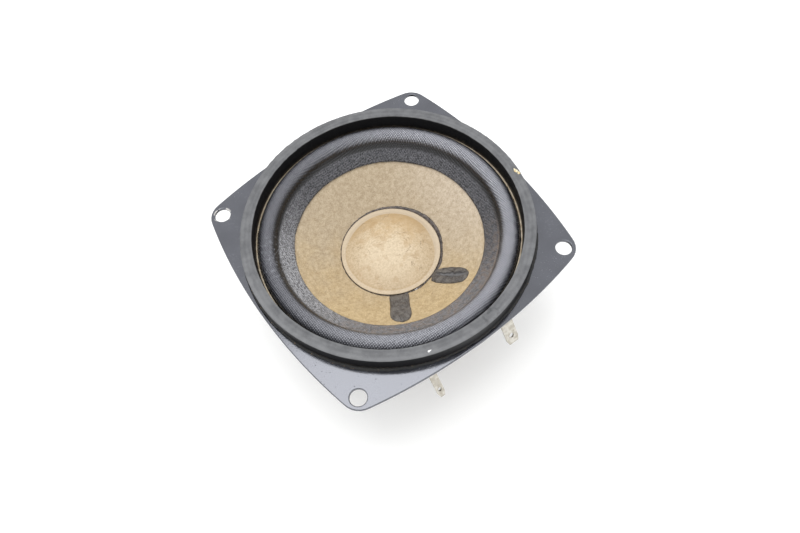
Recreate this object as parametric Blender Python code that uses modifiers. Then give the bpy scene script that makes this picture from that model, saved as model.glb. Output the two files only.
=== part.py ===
"""Loudspeaker drive unit with a pressed steel basket, a paper cone and a ferrite ring magnet.

The frame: +Z is the driver's axis and points out of the cone's front. The origin is the centre of the
back plate's flat back, which is the face that the driver stands on. The terminals are on the -Y side.
Every dimension below is in millimetres, and MM turns it into Blender's metres.
"""
import math

import bmesh
import bpy
from mathutils import Matrix, Vector

MM = 0.001
GAP = 0.3                    # air left between two pieces that touch

# Flange and basket
FLANGE_TOP = 44.0            # the flange's front face above the back of the back plate
SHEET = 1.0                  # basket steel
HALF_WIDTH = 49.5            # from the axis to the middle of a bowed side
SIDE_RADIUS = 190.0          # bow of the flange's sides
CORNER_RADIUS = 6.5
HOLE_CIRCLE = 115.0          # circle through the four mounting holes
HOLE_RADIUS = 2.65
SEAT_RADIUS = 48.5           # recess that takes the surround's rim and the card ring
SEAT_DEPTH = 1.65
WALL_RADIUS = 43.4           # outer face of the upright wall
WALL_FOOT = 32.8             # height where the wall turns in to the arms
ARM_SLOPE = math.radians(34)
SHELF_TOP = 24.0             # ledge that the spider is glued to
CUP_RADIUS = 24.0            # inside of the cup below the ledge
CUP_HOLE_RADIUS = 15.5       # hole in the cup's floor
BEND = 0.8                   # facet across the sheet's bends
SMALL_BEND = 0.5             # and across its tight ones
WALL_BEND = 1.2              # and where the arms meet the wall
WINDOW_RADII = (31.0, 41.3)
WINDOW_SPAN = (18.0, 40.0)   # heights that the window punches reach
ARM_HALF_ANGLE = math.radians(11)

# Magnet system, from the back
BACK_PLATE_RADIUS = 29.0
BACK_PLATE_TOP = 4.0
MAGNET_RADIUS = 30.0
MAGNET_BORE = 16.0
MAGNET_HEIGHT = 8.0
TOP_PLATE_RADIUS = 28.5
TOP_PLATE_HEIGHT = 4.0
POLE_RADIUS = 11.9
POLE_SPIGOT = 5.7
POLE_PROUD = 0.2             # the pole's end stands this far above the top plate
GAP_RADIUS = 13.7            # hole in the top plate
MAGNET_BOTTOM = BACK_PLATE_TOP + GAP
MAGNET_TOP = MAGNET_BOTTOM + MAGNET_HEIGHT
TOP_PLATE_BOTTOM = MAGNET_TOP + GAP
TOP_PLATE_TOP = TOP_PLATE_BOTTOM + TOP_PLATE_HEIGHT
CUP_BOTTOM = TOP_PLATE_TOP + GAP + SHEET
PLATE_RIVET_CIRCLE = 20.5    # radius of the circle of the four rivets in the cup
PLATE_RIVET_HEAD = 0.8       # height of their heads

# Moving parts at rest
FORMER_RADII = (12.4, 12.65)
FORMER_SPAN = (8.5, 28.0)
WINDING_RADII = (12.85, 13.25)
WINDING_SPAN = (10.1, 19.1)
PAPER = 0.5
CLOTH = 0.4
NECK_RADIUS = 13.0
NECK_Z = 27.95
CAP_RADIUS = 17.3            # dust cap
CAP_FOOT_RADIUS = 17.4
CAP_FOOT_Z = 30.55
CONE_EDGE_RADIUS = 32.1      # where the cone goes under the surround
CONE_EDGE_Z = 38.7
CONE_RIM_RADIUS = 36.3
RIM_SLOPE = 0.891            # rise of the cone's rim and of the surround's inner band
ROLL_RADIUS = 40.3           # crest of the surround's half roll
ROLL_HALF_WIDTH = 3.15
ROLL_BASE_Z = 43.7
ROLL_HEIGHT = 3.3

# Gasket, terminals
GASKET_RADII = (44.3, 48.2)
GASKET_TOP = 49.8
CARD_RADII = (43.75, 48.0)
CARD = 0.6
TERMINAL_X = 15.5
TERMINAL_LENGTH = 13.8
BOARD_THICKNESS = 1.5
BOARD_HALF_LENGTH = 20.5
BOARD_SPAN = (-1.5, 8.0)     # the board's edges, from the terminals' bend down the arm
BOARD_ARM_RADIUS = 40.0      # where the terminals' line meets the arm's outer face
RIVET_SHANK = 1.0
RIVET_HEAD = 1.9
RIVET_HOLE = RIVET_SHANK + GAP
RIVET_S = 3.6                # rivets' distance from the terminals' bend, down the arm
BOARD_RIVET_HEAD = 0.7
RIVET_TAIL = 0.6             # how far a shank is turned over beyond the sheet

LARGE_STEPS = 48             # facets round the flange, gasket, cone and surround
SMALL_STEPS = 36             # facets round the magnet system and the voice coil


def cone_front(radius):
    """Height of the cone's front face at a radius inside the surround."""
    if radius < CAP_FOOT_RADIUS:
        share = (radius - NECK_RADIUS) / (CAP_FOOT_RADIUS - NECK_RADIUS)
        return NECK_Z + share * (CAP_FOOT_Z - NECK_Z)
    share = (radius - CAP_FOOT_RADIUS) / (CONE_EDGE_RADIUS - CAP_FOOT_RADIUS)
    return CAP_FOOT_Z + share * (CONE_EDGE_Z - CAP_FOOT_Z)


# ---- scene, collections and materials ----

for old in list(bpy.data.objects):
    bpy.data.objects.remove(old, do_unlink=True)
parts = bpy.data.collections.new("loudspeaker_driver")
cutters = bpy.data.collections.new("cutters")
bpy.context.scene.collection.children.link(parts)
bpy.context.scene.collection.children.link(cutters)


def finish(name, colour, roughness, metallic=0.0):
    material = bpy.data.materials.new(name)
    material.use_nodes = True
    shader = material.node_tree.nodes["Principled BSDF"]
    shader.inputs["Base Color"].default_value = (*colour, 1.0)
    shader.inputs["Roughness"].default_value = roughness
    shader.inputs["Metallic"].default_value = metallic
    return material


def blank(name, mesh):
    """Add an object for a piece, with a material of its own still to come."""
    piece = bpy.data.objects.new(name, mesh)
    parts.objects.link(piece)
    return piece


def as_cutter(piece):
    parts.objects.unlink(piece)
    cutters.objects.link(piece)
    piece.hide_render = True
    piece.display_type = "WIRE"
    return piece


def smooth(piece):
    piece.data.shade_smooth()
    piece.data.set_sharp_from_angle(angle=math.radians(35))


# ---- shapes ----

def profile_mesh(name, points, closed):
    """A mesh of edges in the XZ plane through the (radius, height) points."""
    mesh = bpy.data.meshes.new(name)
    edges = [(i, i + 1) for i in range(len(points) - 1)]
    if closed:
        edges.append((len(points) - 1, 0))
    mesh.from_pydata([(r * MM, 0.0, z * MM) for r, z in points], edges, [])
    return mesh


def add_screw(piece, steps, angle=2 * math.pi):
    screw = piece.modifiers.new("turn", "SCREW")
    screw.axis = "Z"
    screw.angle = angle
    screw.steps = steps
    screw.render_steps = steps
    screw.use_merge_vertices = True
    screw.merge_threshold = 0.00001
    screw.use_smooth_shade = True


def turned(name, points, steps=SMALL_STEPS, closed=True, angle=2 * math.pi):
    """A turned solid. Its profile runs down the outer side and back up the inner one."""
    piece = blank(name, profile_mesh(name, points, closed))
    add_screw(piece, steps, angle)
    return piece


def turned_sheet(name, points, thickness, steps=LARGE_STEPS):
    """A turned sheet. Its profile is the front face, from the inside out, and it thickens backwards."""
    piece = blank(name, profile_mesh(name, points, False))
    add_screw(piece, steps)
    shell = piece.modifiers.new("sheet", "SOLIDIFY")
    shell.thickness = thickness * MM
    shell.offset = -1
    shell.use_even_offset = True
    return piece


def ring(name, radii, span, steps=SMALL_STEPS):
    """A plain ring between two radii and two heights."""
    inner, outer = radii
    low, high = span
    return turned(name, [(outer, high), (outer, low), (inner, low), (inner, high)], steps)


def boolean(piece, other, operation="DIFFERENCE"):
    step = piece.modifiers.new(other.name, "BOOLEAN")
    step.operation = operation
    step.solver = "EXACT"
    step.object = other


def drill(name, radius, places, length, segments=20):
    """A cutter made of one rod for each place, which is a matrix with Z along the hole."""
    mesh = bpy.data.meshes.new(name)
    rods = bmesh.new()
    for place in places:
        scaled = Matrix.Translation(place.to_translation() * MM) @ place.to_3x3().to_4x4()
        bmesh.ops.create_cone(
            rods, cap_ends=True, segments=segments, radius1=radius * MM, radius2=radius * MM,
            depth=length * MM, matrix=scaled,
        )
    rods.to_mesh(mesh)
    rods.free()
    return as_cutter(blank(name, mesh))


def arc(centre, radius, start, end, count):
    """Points on an arc, its angles in radians."""
    angles = [start + (end - start) * i / count for i in range(count + 1)]
    return [(centre[0] + radius * math.cos(a), centre[1] + radius * math.sin(a)) for a in angles]


def plate(name, outline, holes, thickness, place=None):
    """A flat plate with round holes, cut from sheet: outline and holes lie in its own XY plane."""
    curve = bpy.data.curves.new(name, "CURVE")
    curve.dimensions = "2D"
    curve.fill_mode = "BOTH"
    curve.extrude = thickness / 2 * MM
    hole_rings = [arc(centre, radius, 0, 2 * math.pi, 20)[:-1] for centre, radius in holes]
    for points in [outline] + hole_rings:
        spline = curve.splines.new("POLY")
        spline.points.add(len(points) - 1)
        for point, (x, y) in zip(spline.points, points):
            point.co = (x * MM, y * MM, 0.0, 1.0)
        spline.use_cyclic_u = True
    drawn = bpy.data.objects.new(name + "_curve", curve)
    parts.objects.link(drawn)
    seen = drawn.evaluated_get(bpy.context.evaluated_depsgraph_get())
    mesh = bpy.data.meshes.new_from_object(seen)
    bpy.data.objects.remove(drawn, do_unlink=True)
    welded = bmesh.new()
    welded.from_mesh(mesh)
    bmesh.ops.remove_doubles(welded, verts=welded.verts, dist=0.00001)
    bmesh.ops.recalc_face_normals(welded, faces=welded.faces)
    welded.to_mesh(mesh)
    welded.free()
    piece = blank(name, mesh)
    if place is not None:
        put(piece, place)
    return piece


def put(piece, place):
    """Place a piece by a matrix in millimetres."""
    piece.matrix_world = Matrix.Translation(place.to_translation() * MM) @ place.to_3x3().to_4x4()


def turn_z(degrees):
    return Matrix.Rotation(math.radians(degrees), 4, "Z")


# ---- basket: a flat square flange with bowed sides, a recessed seat, a wall, arms and a cup ----

def flange_outline():
    """Four large side arcs joined by round corners that are tangent to them."""
    rise = SIDE_RADIUS - HALF_WIDTH
    reach = SIDE_RADIUS - CORNER_RADIUS
    corner = (-rise + math.sqrt(2 * reach ** 2 - rise ** 2)) / 2
    lean = math.atan2(corner, corner + rise)
    quarter = arc((0.0, -rise), SIDE_RADIUS, math.pi / 2 + lean, math.pi / 2 - lean, 8)
    quarter += arc((corner, corner), CORNER_RADIUS, math.pi / 2 - lean, lean, 6)[1:-1]
    points = []
    for turns in range(4):
        angle = -turns * math.pi / 2
        cosine, sine = math.cos(angle), math.sin(angle)
        points += [(x * cosine - y * sine, x * sine + y * cosine) for x, y in quarter]
    return points


def quarter_places(radius, height, first=45):
    """Four upright places round the axis."""
    return [turn_z(first + 90 * i) @ Matrix.Translation((radius, 0, height)) for i in range(4)]


def board_frame():
    """Place of the terminal board: X along it, Y down the arm, Z in towards the basket.

    Its origin is on the board's outer face, where the terminals bend away.
    """
    height = WALL_FOOT - (WALL_RADIUS - BOARD_ARM_RADIUS) * math.tan(ARM_SLOPE)
    across = Vector((1, 0, 0))
    down = Vector((0, math.cos(ARM_SLOPE), -math.sin(ARM_SLOPE)))
    inward = Vector((0, math.sin(ARM_SLOPE), math.cos(ARM_SLOPE)))
    origin = Vector((0, -BOARD_ARM_RADIUS, height)) - (BOARD_THICKNESS + GAP) * inward
    place = Matrix((across, down, inward)).transposed().to_4x4()
    place.translation = origin
    return place


BOARD = board_frame()
BOARD_RIVET_X = 4.5
BOARD_RIVETS = [BOARD @ Matrix.Translation((x, RIVET_S, 0)) for x in (-BOARD_RIVET_X, BOARD_RIVET_X)]

wall_inside = WALL_RADIUS - SHEET
shelf_edge = WALL_RADIUS - (WALL_FOOT + SHEET / math.cos(ARM_SLOPE) - SHELF_TOP) / math.tan(ARM_SLOPE)
wall_bottom = SHELF_TOP + (wall_inside - shelf_edge) * math.tan(ARM_SLOPE)
seat_top = FLANGE_TOP - SEAT_DEPTH
pressed = seat_top + 0.1     # the seat before the recess is faced flat
basket_profile = [
    (CUP_HOLE_RADIUS, CUP_BOTTOM),
    (CUP_RADIUS - BEND, CUP_BOTTOM),
    (CUP_RADIUS, CUP_BOTTOM + BEND),
    (CUP_RADIUS, SHELF_TOP - SMALL_BEND),
    (CUP_RADIUS + SMALL_BEND, SHELF_TOP),
    (shelf_edge, SHELF_TOP),
    (wall_inside - WALL_BEND, wall_bottom - WALL_BEND * math.tan(ARM_SLOPE)),
    (wall_inside, wall_bottom + WALL_BEND),
    (wall_inside, pressed - BEND),
    (wall_inside + BEND, pressed),
    (SEAT_RADIUS - 0.3, pressed),
    (SEAT_RADIUS - 0.3, FLANGE_TOP - SHEET / 2),
]
basket = turned_sheet("basket", basket_profile, SHEET)
flange_holes = [
    ((x * HOLE_CIRCLE / math.sqrt(8), y * HOLE_CIRCLE / math.sqrt(8)), HOLE_RADIUS)
    for x in (-1, 1) for y in (-1, 1)
]
flange = as_cutter(plate(
    "flange_plate", flange_outline(), flange_holes, SHEET,
    Matrix.Translation((0, 0, FLANGE_TOP - SHEET / 2)),
))
boolean(basket, flange, "UNION")
recess = as_cutter(turned(
    "seat_recess",
    [(0, FLANGE_TOP + 2), (SEAT_RADIUS, FLANGE_TOP + 2), (SEAT_RADIUS, seat_top), (0, seat_top)],
    LARGE_STEPS, closed=False,
))
recess.rotation_euler.z = math.pi / LARGE_STEPS    # half a facet, so its seam is off the flange's
boolean(basket, recess)
window_low, window_high = WINDOW_SPAN
for number in range(4):
    inner, outer = WINDOW_RADII
    sweep = math.pi / 2 - 2 * ARM_HALF_ANGLE
    window = bmesh.new()
    outline = arc((0, 0), outer, 0, sweep, 12) + arc((0, 0), inner, sweep, 0, 12)
    face = window.faces.new([window.verts.new((x * MM, y * MM, window_low * MM)) for x, y in outline])
    rim = bmesh.ops.extrude_face_region(window, geom=[face])
    raised = [item for item in rim["geom"] if isinstance(item, bmesh.types.BMVert)]
    bmesh.ops.translate(window, verts=raised, vec=(0, 0, (window_high - window_low) * MM))
    bmesh.ops.recalc_face_normals(window, faces=window.faces)
    window_mesh = bpy.data.meshes.new(f"window_{number}")
    window.to_mesh(window_mesh)
    window.free()
    opening = as_cutter(blank(f"window_{number}", window_mesh))
    opening.rotation_euler.z = ARM_HALF_ANGLE + number * math.pi / 2
    boolean(basket, opening)
boolean(basket, drill("cup_rivet_drill", RIVET_HOLE, quarter_places(PLATE_RIVET_CIRCLE, CUP_BOTTOM), 5))
arm_places = [place @ Matrix.Translation((0, 0, BOARD_THICKNESS + 1)) for place in BOARD_RIVETS]
boolean(basket, drill("arm_rivet_drill", RIVET_HOLE, arm_places, 5))
basket.data.materials.append(finish("black_paint", (0.018, 0.018, 0.022), 0.38))


# ---- magnet system: back plate, pole piece, ferrite ring and top plate ----

chamfer = 0.6
back_plate = turned("back_plate", [
    (BACK_PLATE_RADIUS - chamfer, BACK_PLATE_TOP),
    (BACK_PLATE_RADIUS, BACK_PLATE_TOP - chamfer),
    (BACK_PLATE_RADIUS, chamfer),
    (BACK_PLATE_RADIUS - chamfer, 0),
    (POLE_SPIGOT + GAP, 0),
    (POLE_SPIGOT + GAP, BACK_PLATE_TOP),
])
back_plate.data.materials.append(finish("zinc_back", (0.55, 0.52, 0.42), 0.35, 1.0))
pole_top = TOP_PLATE_TOP + POLE_PROUD
pole = turned("pole_piece", [
    (0, pole_top),
    (POLE_RADIUS - chamfer, pole_top),
    (POLE_RADIUS, pole_top - chamfer),
    (POLE_RADIUS, MAGNET_BOTTOM),
    (POLE_SPIGOT, MAGNET_BOTTOM),
    (POLE_SPIGOT, GAP),
    (0, GAP),
], closed=False)
pole.data.materials.append(finish("pole_steel", (0.45, 0.44, 0.42), 0.4, 1.0))
magnet = turned("magnet", [
    (MAGNET_RADIUS - chamfer, MAGNET_TOP),
    (MAGNET_RADIUS, MAGNET_TOP - chamfer),
    (MAGNET_RADIUS, MAGNET_BOTTOM + chamfer),
    (MAGNET_RADIUS - chamfer, MAGNET_BOTTOM),
    (MAGNET_BORE, MAGNET_BOTTOM),
    (MAGNET_BORE, MAGNET_TOP),
])
magnet.data.materials.append(finish("ferrite", (0.055, 0.055, 0.058), 0.6))
top_plate = turned("top_plate", [
    (TOP_PLATE_RADIUS - chamfer, TOP_PLATE_TOP),
    (TOP_PLATE_RADIUS, TOP_PLATE_TOP - chamfer),
    (TOP_PLATE_RADIUS, TOP_PLATE_BOTTOM),
    (GAP_RADIUS, TOP_PLATE_BOTTOM),
    (GAP_RADIUS, TOP_PLATE_TOP),
])
rivet_seats = quarter_places(PLATE_RIVET_CIRCLE, TOP_PLATE_TOP)
boolean(top_plate, drill("top_plate_drill", RIVET_HOLE, rivet_seats, 7))
top_plate.data.materials.append(finish("zinc_top", (0.55, 0.52, 0.42), 0.35, 1.0))


def rivet(name, bottom, neck, height, place):
    """A rivet along its own Z: a shank from bottom up to neck, then a low round head."""
    piece = turned(name, [
        (0, neck + height),
        (RIVET_HEAD * 0.6, neck + height),
        (RIVET_HEAD, neck + height * 0.4),
        (RIVET_HEAD, neck),
        (RIVET_SHANK, neck),
        (RIVET_SHANK, bottom),
        (0, bottom),
    ], 14, closed=False)
    put(piece, place)
    piece.data.materials.append(finish(name, (0.6, 0.6, 0.6), 0.35, 1.0))
    return piece


for number, place in enumerate(quarter_places(PLATE_RIVET_CIRCLE, CUP_BOTTOM), 1):
    rivet(f"top_plate_rivet_{number}", TOP_PLATE_BOTTOM + 1 - CUP_BOTTOM, GAP, PLATE_RIVET_HEAD, place)


# ---- voice coil: a paper tube with a copper winding in the magnet's gap ----

former = ring("voice_coil_former", FORMER_RADII, FORMER_SPAN)
former.data.materials.append(finish("former_kraft", (0.42, 0.28, 0.15), 0.8))
winding = ring("voice_coil_winding", WINDING_RADII, WINDING_SPAN)
winding.data.materials.append(finish("enamelled_copper", (0.72, 0.25, 0.09), 0.3, 1.0))


# ---- spider: a corrugated cloth disc between the former and the basket's ledge ----

SPIDER_SHEET = 0.35
SPIDER_WAVES = 3
WAVE_START = 14.1
WAVE_HEIGHT = 0.9
QUARTER_WAVE = 0.78          # run of a quarter of a wave
COLLAR_HEIGHT = 1.6          # collar that is glued to the former
spider_z = SHELF_TOP + GAP + SPIDER_SHEET
spider_profile = [
    (NECK_RADIUS + SPIDER_SHEET, spider_z + COLLAR_HEIGHT),
    (NECK_RADIUS + 0.5, spider_z + COLLAR_HEIGHT / 4),
]
for step in range(SPIDER_WAVES * 4 + 1):
    wave = math.sin(math.pi / 2 * step)
    spider_profile.append((WAVE_START + step * QUARTER_WAVE, spider_z + WAVE_HEIGHT * wave))
spider_profile.append((shelf_edge - 0.4, spider_z))
spider = turned_sheet("spider", spider_profile, SPIDER_SHEET, SMALL_STEPS)
spider.data.materials.append(finish("spider_cloth", (0.45, 0.29, 0.12), 0.9))


# ---- cone, surround and dust cap ----

rim_z = CONE_EDGE_Z + (CONE_RIM_RADIUS - CONE_EDGE_RADIUS) * RIM_SLOPE
cone = turned_sheet("cone", [
    (NECK_RADIUS, NECK_Z),
    (CAP_FOOT_RADIUS, CAP_FOOT_Z),
    (CONE_EDGE_RADIUS, CONE_EDGE_Z),
    (CONE_RIM_RADIUS, rim_z),
], PAPER)
cone.data.materials.append(finish("kraft_paper", (0.58, 0.43, 0.26), 0.85))

ROLL_FACETS = 7
BAND_END = 36.6              # radius where the surround's inner band turns up into the roll
band_lift = (CLOTH + GAP) * math.hypot(1, RIM_SLOPE)
roll = [
    (ROLL_RADIUS - ROLL_HALF_WIDTH * math.cos(a), ROLL_BASE_Z + ROLL_HEIGHT * math.sin(a))
    for a in [math.pi * i / ROLL_FACETS for i in range(ROLL_FACETS + 1)]
]
rim_top = seat_top + GAP + CLOTH
band_top = CONE_EDGE_Z + band_lift + (BAND_END - CONE_EDGE_RADIUS) * RIM_SLOPE
surround = turned_sheet("surround", [
    (CONE_EDGE_RADIUS, CONE_EDGE_Z + band_lift),
    (BAND_END, band_top),
    *roll,
    (roll[-1][0] + 0.15, rim_top),
    (SEAT_RADIUS - 0.4, rim_top),
], CLOTH)
surround.data.materials.append(finish("coated_cloth", (0.03, 0.031, 0.036), 0.55))

GLUE_GAP = 0.35              # air between the cone and what is glued onto it
CAP_RISE = 4.2
CAP_DOME_RADIUS = 16.0
CAP_FACETS = 5
cap_foot = cone_front(CAP_RADIUS) + GLUE_GAP + CLOTH
dome = (CAP_DOME_RADIUS ** 2 + CAP_RISE ** 2) / (2 * CAP_RISE)
half_angle = math.asin(CAP_DOME_RADIUS / dome)
cap_profile = [
    (dome * math.sin(a), cap_foot + CAP_RISE - dome * (1 - math.cos(a)))
    for a in [half_angle * i / CAP_FACETS for i in range(CAP_FACETS + 1)]
]
dust_cap = turned_sheet("dust_cap", cap_profile + [(CAP_RADIUS, cap_foot)], CLOTH, SMALL_STEPS)
dust_cap.data.materials.append(finish("cap_paper", (0.75, 0.61, 0.4), 0.85))


# ---- glue: a bead round the dust cap and a blob over each lead's end on the cone ----

BEAD_WIDTH = 1.0
BEAD_TOP = 1.1               # its top above the cone
bead_inner = CAP_RADIUS + GAP
bead_middle = bead_inner + BEAD_WIDTH / 2
bead_outer = bead_inner + BEAD_WIDTH
cap_bead = turned("dust_cap_glue", [
    (bead_middle, cone_front(bead_middle) + BEAD_TOP - 0.1),
    (bead_outer, cone_front(bead_outer) + GLUE_GAP),
    (bead_inner, cone_front(bead_inner) + GLUE_GAP),
    (bead_inner, cone_front(bead_inner) + BEAD_TOP),
], LARGE_STEPS)
cap_bead.data.materials.append(finish("bead_glue", (0.03, 0.022, 0.016), 0.3))

glue_bed = as_cutter(turned("glue_bed", [
    (CONE_EDGE_RADIUS, cone_front(CONE_EDGE_RADIUS) + GLUE_GAP),
    (CONE_EDGE_RADIUS, NECK_Z - 5),
    (CAP_FOOT_RADIUS, NECK_Z - 5),
    (CAP_FOOT_RADIUS, cone_front(CAP_FOOT_RADIUS) + GLUE_GAP),
], LARGE_STEPS))
CONE_ANGLE = math.atan2(CONE_EDGE_Z - CAP_FOOT_Z, CONE_EDGE_RADIUS - CAP_FOOT_RADIUS)
GLUE_HALF_WIDTH = 3.2
GLUE_HEIGHT = 1.7
GLUE_ENDS = {
    "lead_glue_left": ((-9.1, -17.4), (-12.9, -24.4)),
    "lead_glue_right": ((5.9, -18.6), (14.1, -24.3)),
}
for name, (start, end) in GLUE_ENDS.items():
    middle = (Vector(start) + Vector(end)) / 2
    radial = Vector((*middle, 0)).normalized()
    normal = -math.sin(CONE_ANGLE) * radial + math.cos(CONE_ANGLE) * Vector((0, 0, 1))
    run = Vector((*(Vector(end) - Vector(start)), 0))
    along = (run - run.dot(normal) * normal).normalized()
    place = Matrix((along, normal.cross(along), normal)).transposed().to_4x4()
    place.translation = Vector((*middle, cone_front(middle.length)))
    drop = bmesh.new()
    bmesh.ops.create_uvsphere(drop, u_segments=20, v_segments=10, radius=MM)
    bmesh.ops.scale(drop, vec=(run.length / 2, GLUE_HALF_WIDTH, GLUE_HEIGHT), verts=drop.verts)
    drop_mesh = bpy.data.meshes.new(name)
    drop.to_mesh(drop_mesh)
    drop.free()
    blob = blank(name, drop_mesh)
    put(blob, place)
    boolean(blob, glue_bed)
    blob.data.materials.append(finish(name, (0.035, 0.026, 0.02), 0.35))


# ---- gasket and card ring, which hold the surround's rim in the flange's seat ----

card_ring = ring("card_ring", CARD_RADII, (rim_top + GAP, rim_top + GAP + CARD), LARGE_STEPS)
card_ring.data.materials.append(finish("tan_card", (0.5, 0.38, 0.25), 0.85))
gasket = ring("gasket", GASKET_RADII, (FLANGE_TOP + GAP, GASKET_TOP), LARGE_STEPS)
gasket.data.materials.append(finish("foam", (0.12, 0.12, 0.125), 0.9))


# ---- terminals: a laminate board riveted to the -Y arm, with a wide and a narrow blade ----

board_top, board_foot = BOARD_SPAN
board_outline = [
    (-BOARD_HALF_LENGTH, board_top),
    (BOARD_HALF_LENGTH, board_top),
    (BOARD_HALF_LENGTH, board_foot),
    (-BOARD_HALF_LENGTH, board_foot),
]
board_holes = [((x, RIVET_S), RIVET_HOLE) for x in (-TERMINAL_X, -BOARD_RIVET_X, BOARD_RIVET_X, TERMINAL_X)]
board = plate(
    "terminal_board", board_outline, board_holes, BOARD_THICKNESS,
    BOARD @ Matrix.Translation((0, 0, BOARD_THICKNESS / 2)),
)
board.data.materials.append(finish("phenolic", (0.16, 0.075, 0.03), 0.5))
for place, side in zip(BOARD_RIVETS, ("left", "right")):
    bottom = BOARD_THICKNESS + GAP + SHEET + RIVET_TAIL
    # the head is on the board's outer face, so the rivet is turned over
    over = place @ Matrix.Rotation(math.pi, 4, "X")
    rivet(f"board_rivet_{side}", -bottom, GAP, BOARD_RIVET_HEAD, over)

FOOT_WIDTH = 6.0
FOOT_LENGTH = 6.8
BLADE_SHEET = 0.8
TIP_LENGTH = 1.8             # the blade narrows over this length to its tip
TIP_INSET = 0.6
TIP_TO_HOLE = 3.2
for name, x, width, hole_radius in (
    ("terminal_narrow", -TERMINAL_X, 2.8, 0.7),
    ("terminal_wide", TERMINAL_X, 4.8, 0.9),
):
    half = width / 2
    root = GAP + BLADE_SHEET / 2
    foot_outline = [
        (-FOOT_WIDTH / 2, -BLADE_SHEET / 2),
        (FOOT_WIDTH / 2, -BLADE_SHEET / 2),
        (FOOT_WIDTH / 2, FOOT_LENGTH),
        (-FOOT_WIDTH / 2, FOOT_LENGTH),
    ]
    foot_place = BOARD @ Matrix.Translation((x, 0, -GAP - BLADE_SHEET / 2))
    tab = plate(name, foot_outline, [((0, RIVET_S), RIVET_HOLE)], BLADE_SHEET, foot_place)
    blade_outline = [
        (-half, root),
        (half, root),
        (half, TERMINAL_LENGTH - TIP_LENGTH),
        (half - TIP_INSET, TERMINAL_LENGTH),
        (TIP_INSET - half, TERMINAL_LENGTH),
        (-half, TERMINAL_LENGTH - TIP_LENGTH),
    ]
    # the blade's own Y points away from the board, and it is a little thinner than the foot so
    # that no two faces of the joined solids lie in one plane
    upright = Matrix.Rotation(-math.pi / 2, 4, "X")
    blade_place = BOARD @ Matrix.Translation((x, 0, 0)) @ upright
    blade_hole = ((0, TERMINAL_LENGTH - TIP_TO_HOLE), hole_radius)
    blade = as_cutter(plate(name + "_blade", blade_outline, [blade_hole], BLADE_SHEET - 0.05, blade_place))
    boolean(tab, blade, "UNION")
    tab.data.materials.append(finish(name, (0.62, 0.6, 0.56), 0.4, 1.0))

SOLDER_BASE = BOARD_THICKNESS + GAP + BOARD_RIVET_HEAD + GAP
SOLDER_HEIGHT = 1.3
for side, x in (("left", -TERMINAL_X), ("right", TERMINAL_X)):
    place = BOARD @ Matrix.Translation((x, RIVET_S, 0))
    tail = GAP + BLADE_SHEET + RIVET_TAIL
    rivet(f"terminal_rivet_{side}", -tail, BOARD_THICKNESS + GAP, BOARD_RIVET_HEAD, place)
    solder = turned(f"solder_joint_{side}", [
        (0, SOLDER_BASE + SOLDER_HEIGHT),
        (0.9, SOLDER_BASE + SOLDER_HEIGHT - 0.2),
        (1.5, SOLDER_BASE + 0.5),
        (1.7, SOLDER_BASE),
        (0, SOLDER_BASE),
    ], 14, closed=False)
    put(solder, place)
    solder.data.materials.append(finish(f"solder_{side}", (0.62, 0.62, 0.63), 0.3, 1.0))


# ---- tinsel leads: braid from each glue blob's end, behind the cone, to its terminal ----

LEAD_RADIUS = 0.5


def smooth_route(points, count):
    """Points along a smooth curve through the given points."""
    route = []
    padded = [2 * points[0] - points[1], *points, 2 * points[-1] - points[-2]]
    for i in range(1, len(padded) - 2):
        before, start, end, after = padded[i - 1:i + 3]
        for step in range(count):
            t = step / count
            route.append(0.5 * (
                2 * start + (end - before) * t
                + (2 * before - 5 * start + 4 * end - after) * t ** 2
                + (3 * start - before - 3 * end + after) * t ** 3
            ))
    return route + [points[-1]]


for side, sign in (("left", -1), ("right", 1)):
    hole = Vector((sign * 12.6, -23.6, 0))
    under_cone = cone_front(hole.length) - PAPER / math.cos(CONE_ANGLE) - LEAD_RADIUS * math.tan(CONE_ANGLE)
    start = Vector((hole.x, hole.y, under_cone - GAP))
    joint = BOARD @ Vector((sign * TERMINAL_X, RIVET_S - 0.6, SOLDER_BASE + SOLDER_HEIGHT + GAP))
    route = smooth_route([
        start,
        start + Vector((0, -0.3, -2.6)),
        start + Vector((sign * 1.2, -3.2, -7.4)),
        start + Vector((sign * 2.6, -7.8, -7.6)),
        joint + Vector((0, 1.6, 1.6)),
        joint,
    ], 4)
    curve = bpy.data.curves.new(f"tinsel_lead_{side}", "CURVE")
    curve.dimensions = "3D"
    curve.bevel_depth = LEAD_RADIUS * MM
    curve.bevel_resolution = 2
    curve.use_fill_caps = True
    spline = curve.splines.new("POLY")
    spline.points.add(len(route) - 1)
    for point, place in zip(spline.points, route):
        point.co = (*(place * MM), 1.0)
    lead = blank(f"tinsel_lead_{side}", curve)
    lead.data.materials.append(finish(f"tinsel_{side}", (0.55, 0.4, 0.25), 0.45, 1.0))

for piece in parts.objects:
    if piece.type == "MESH" and piece.data.polygons:
        smooth(piece)
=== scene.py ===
import math

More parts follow.
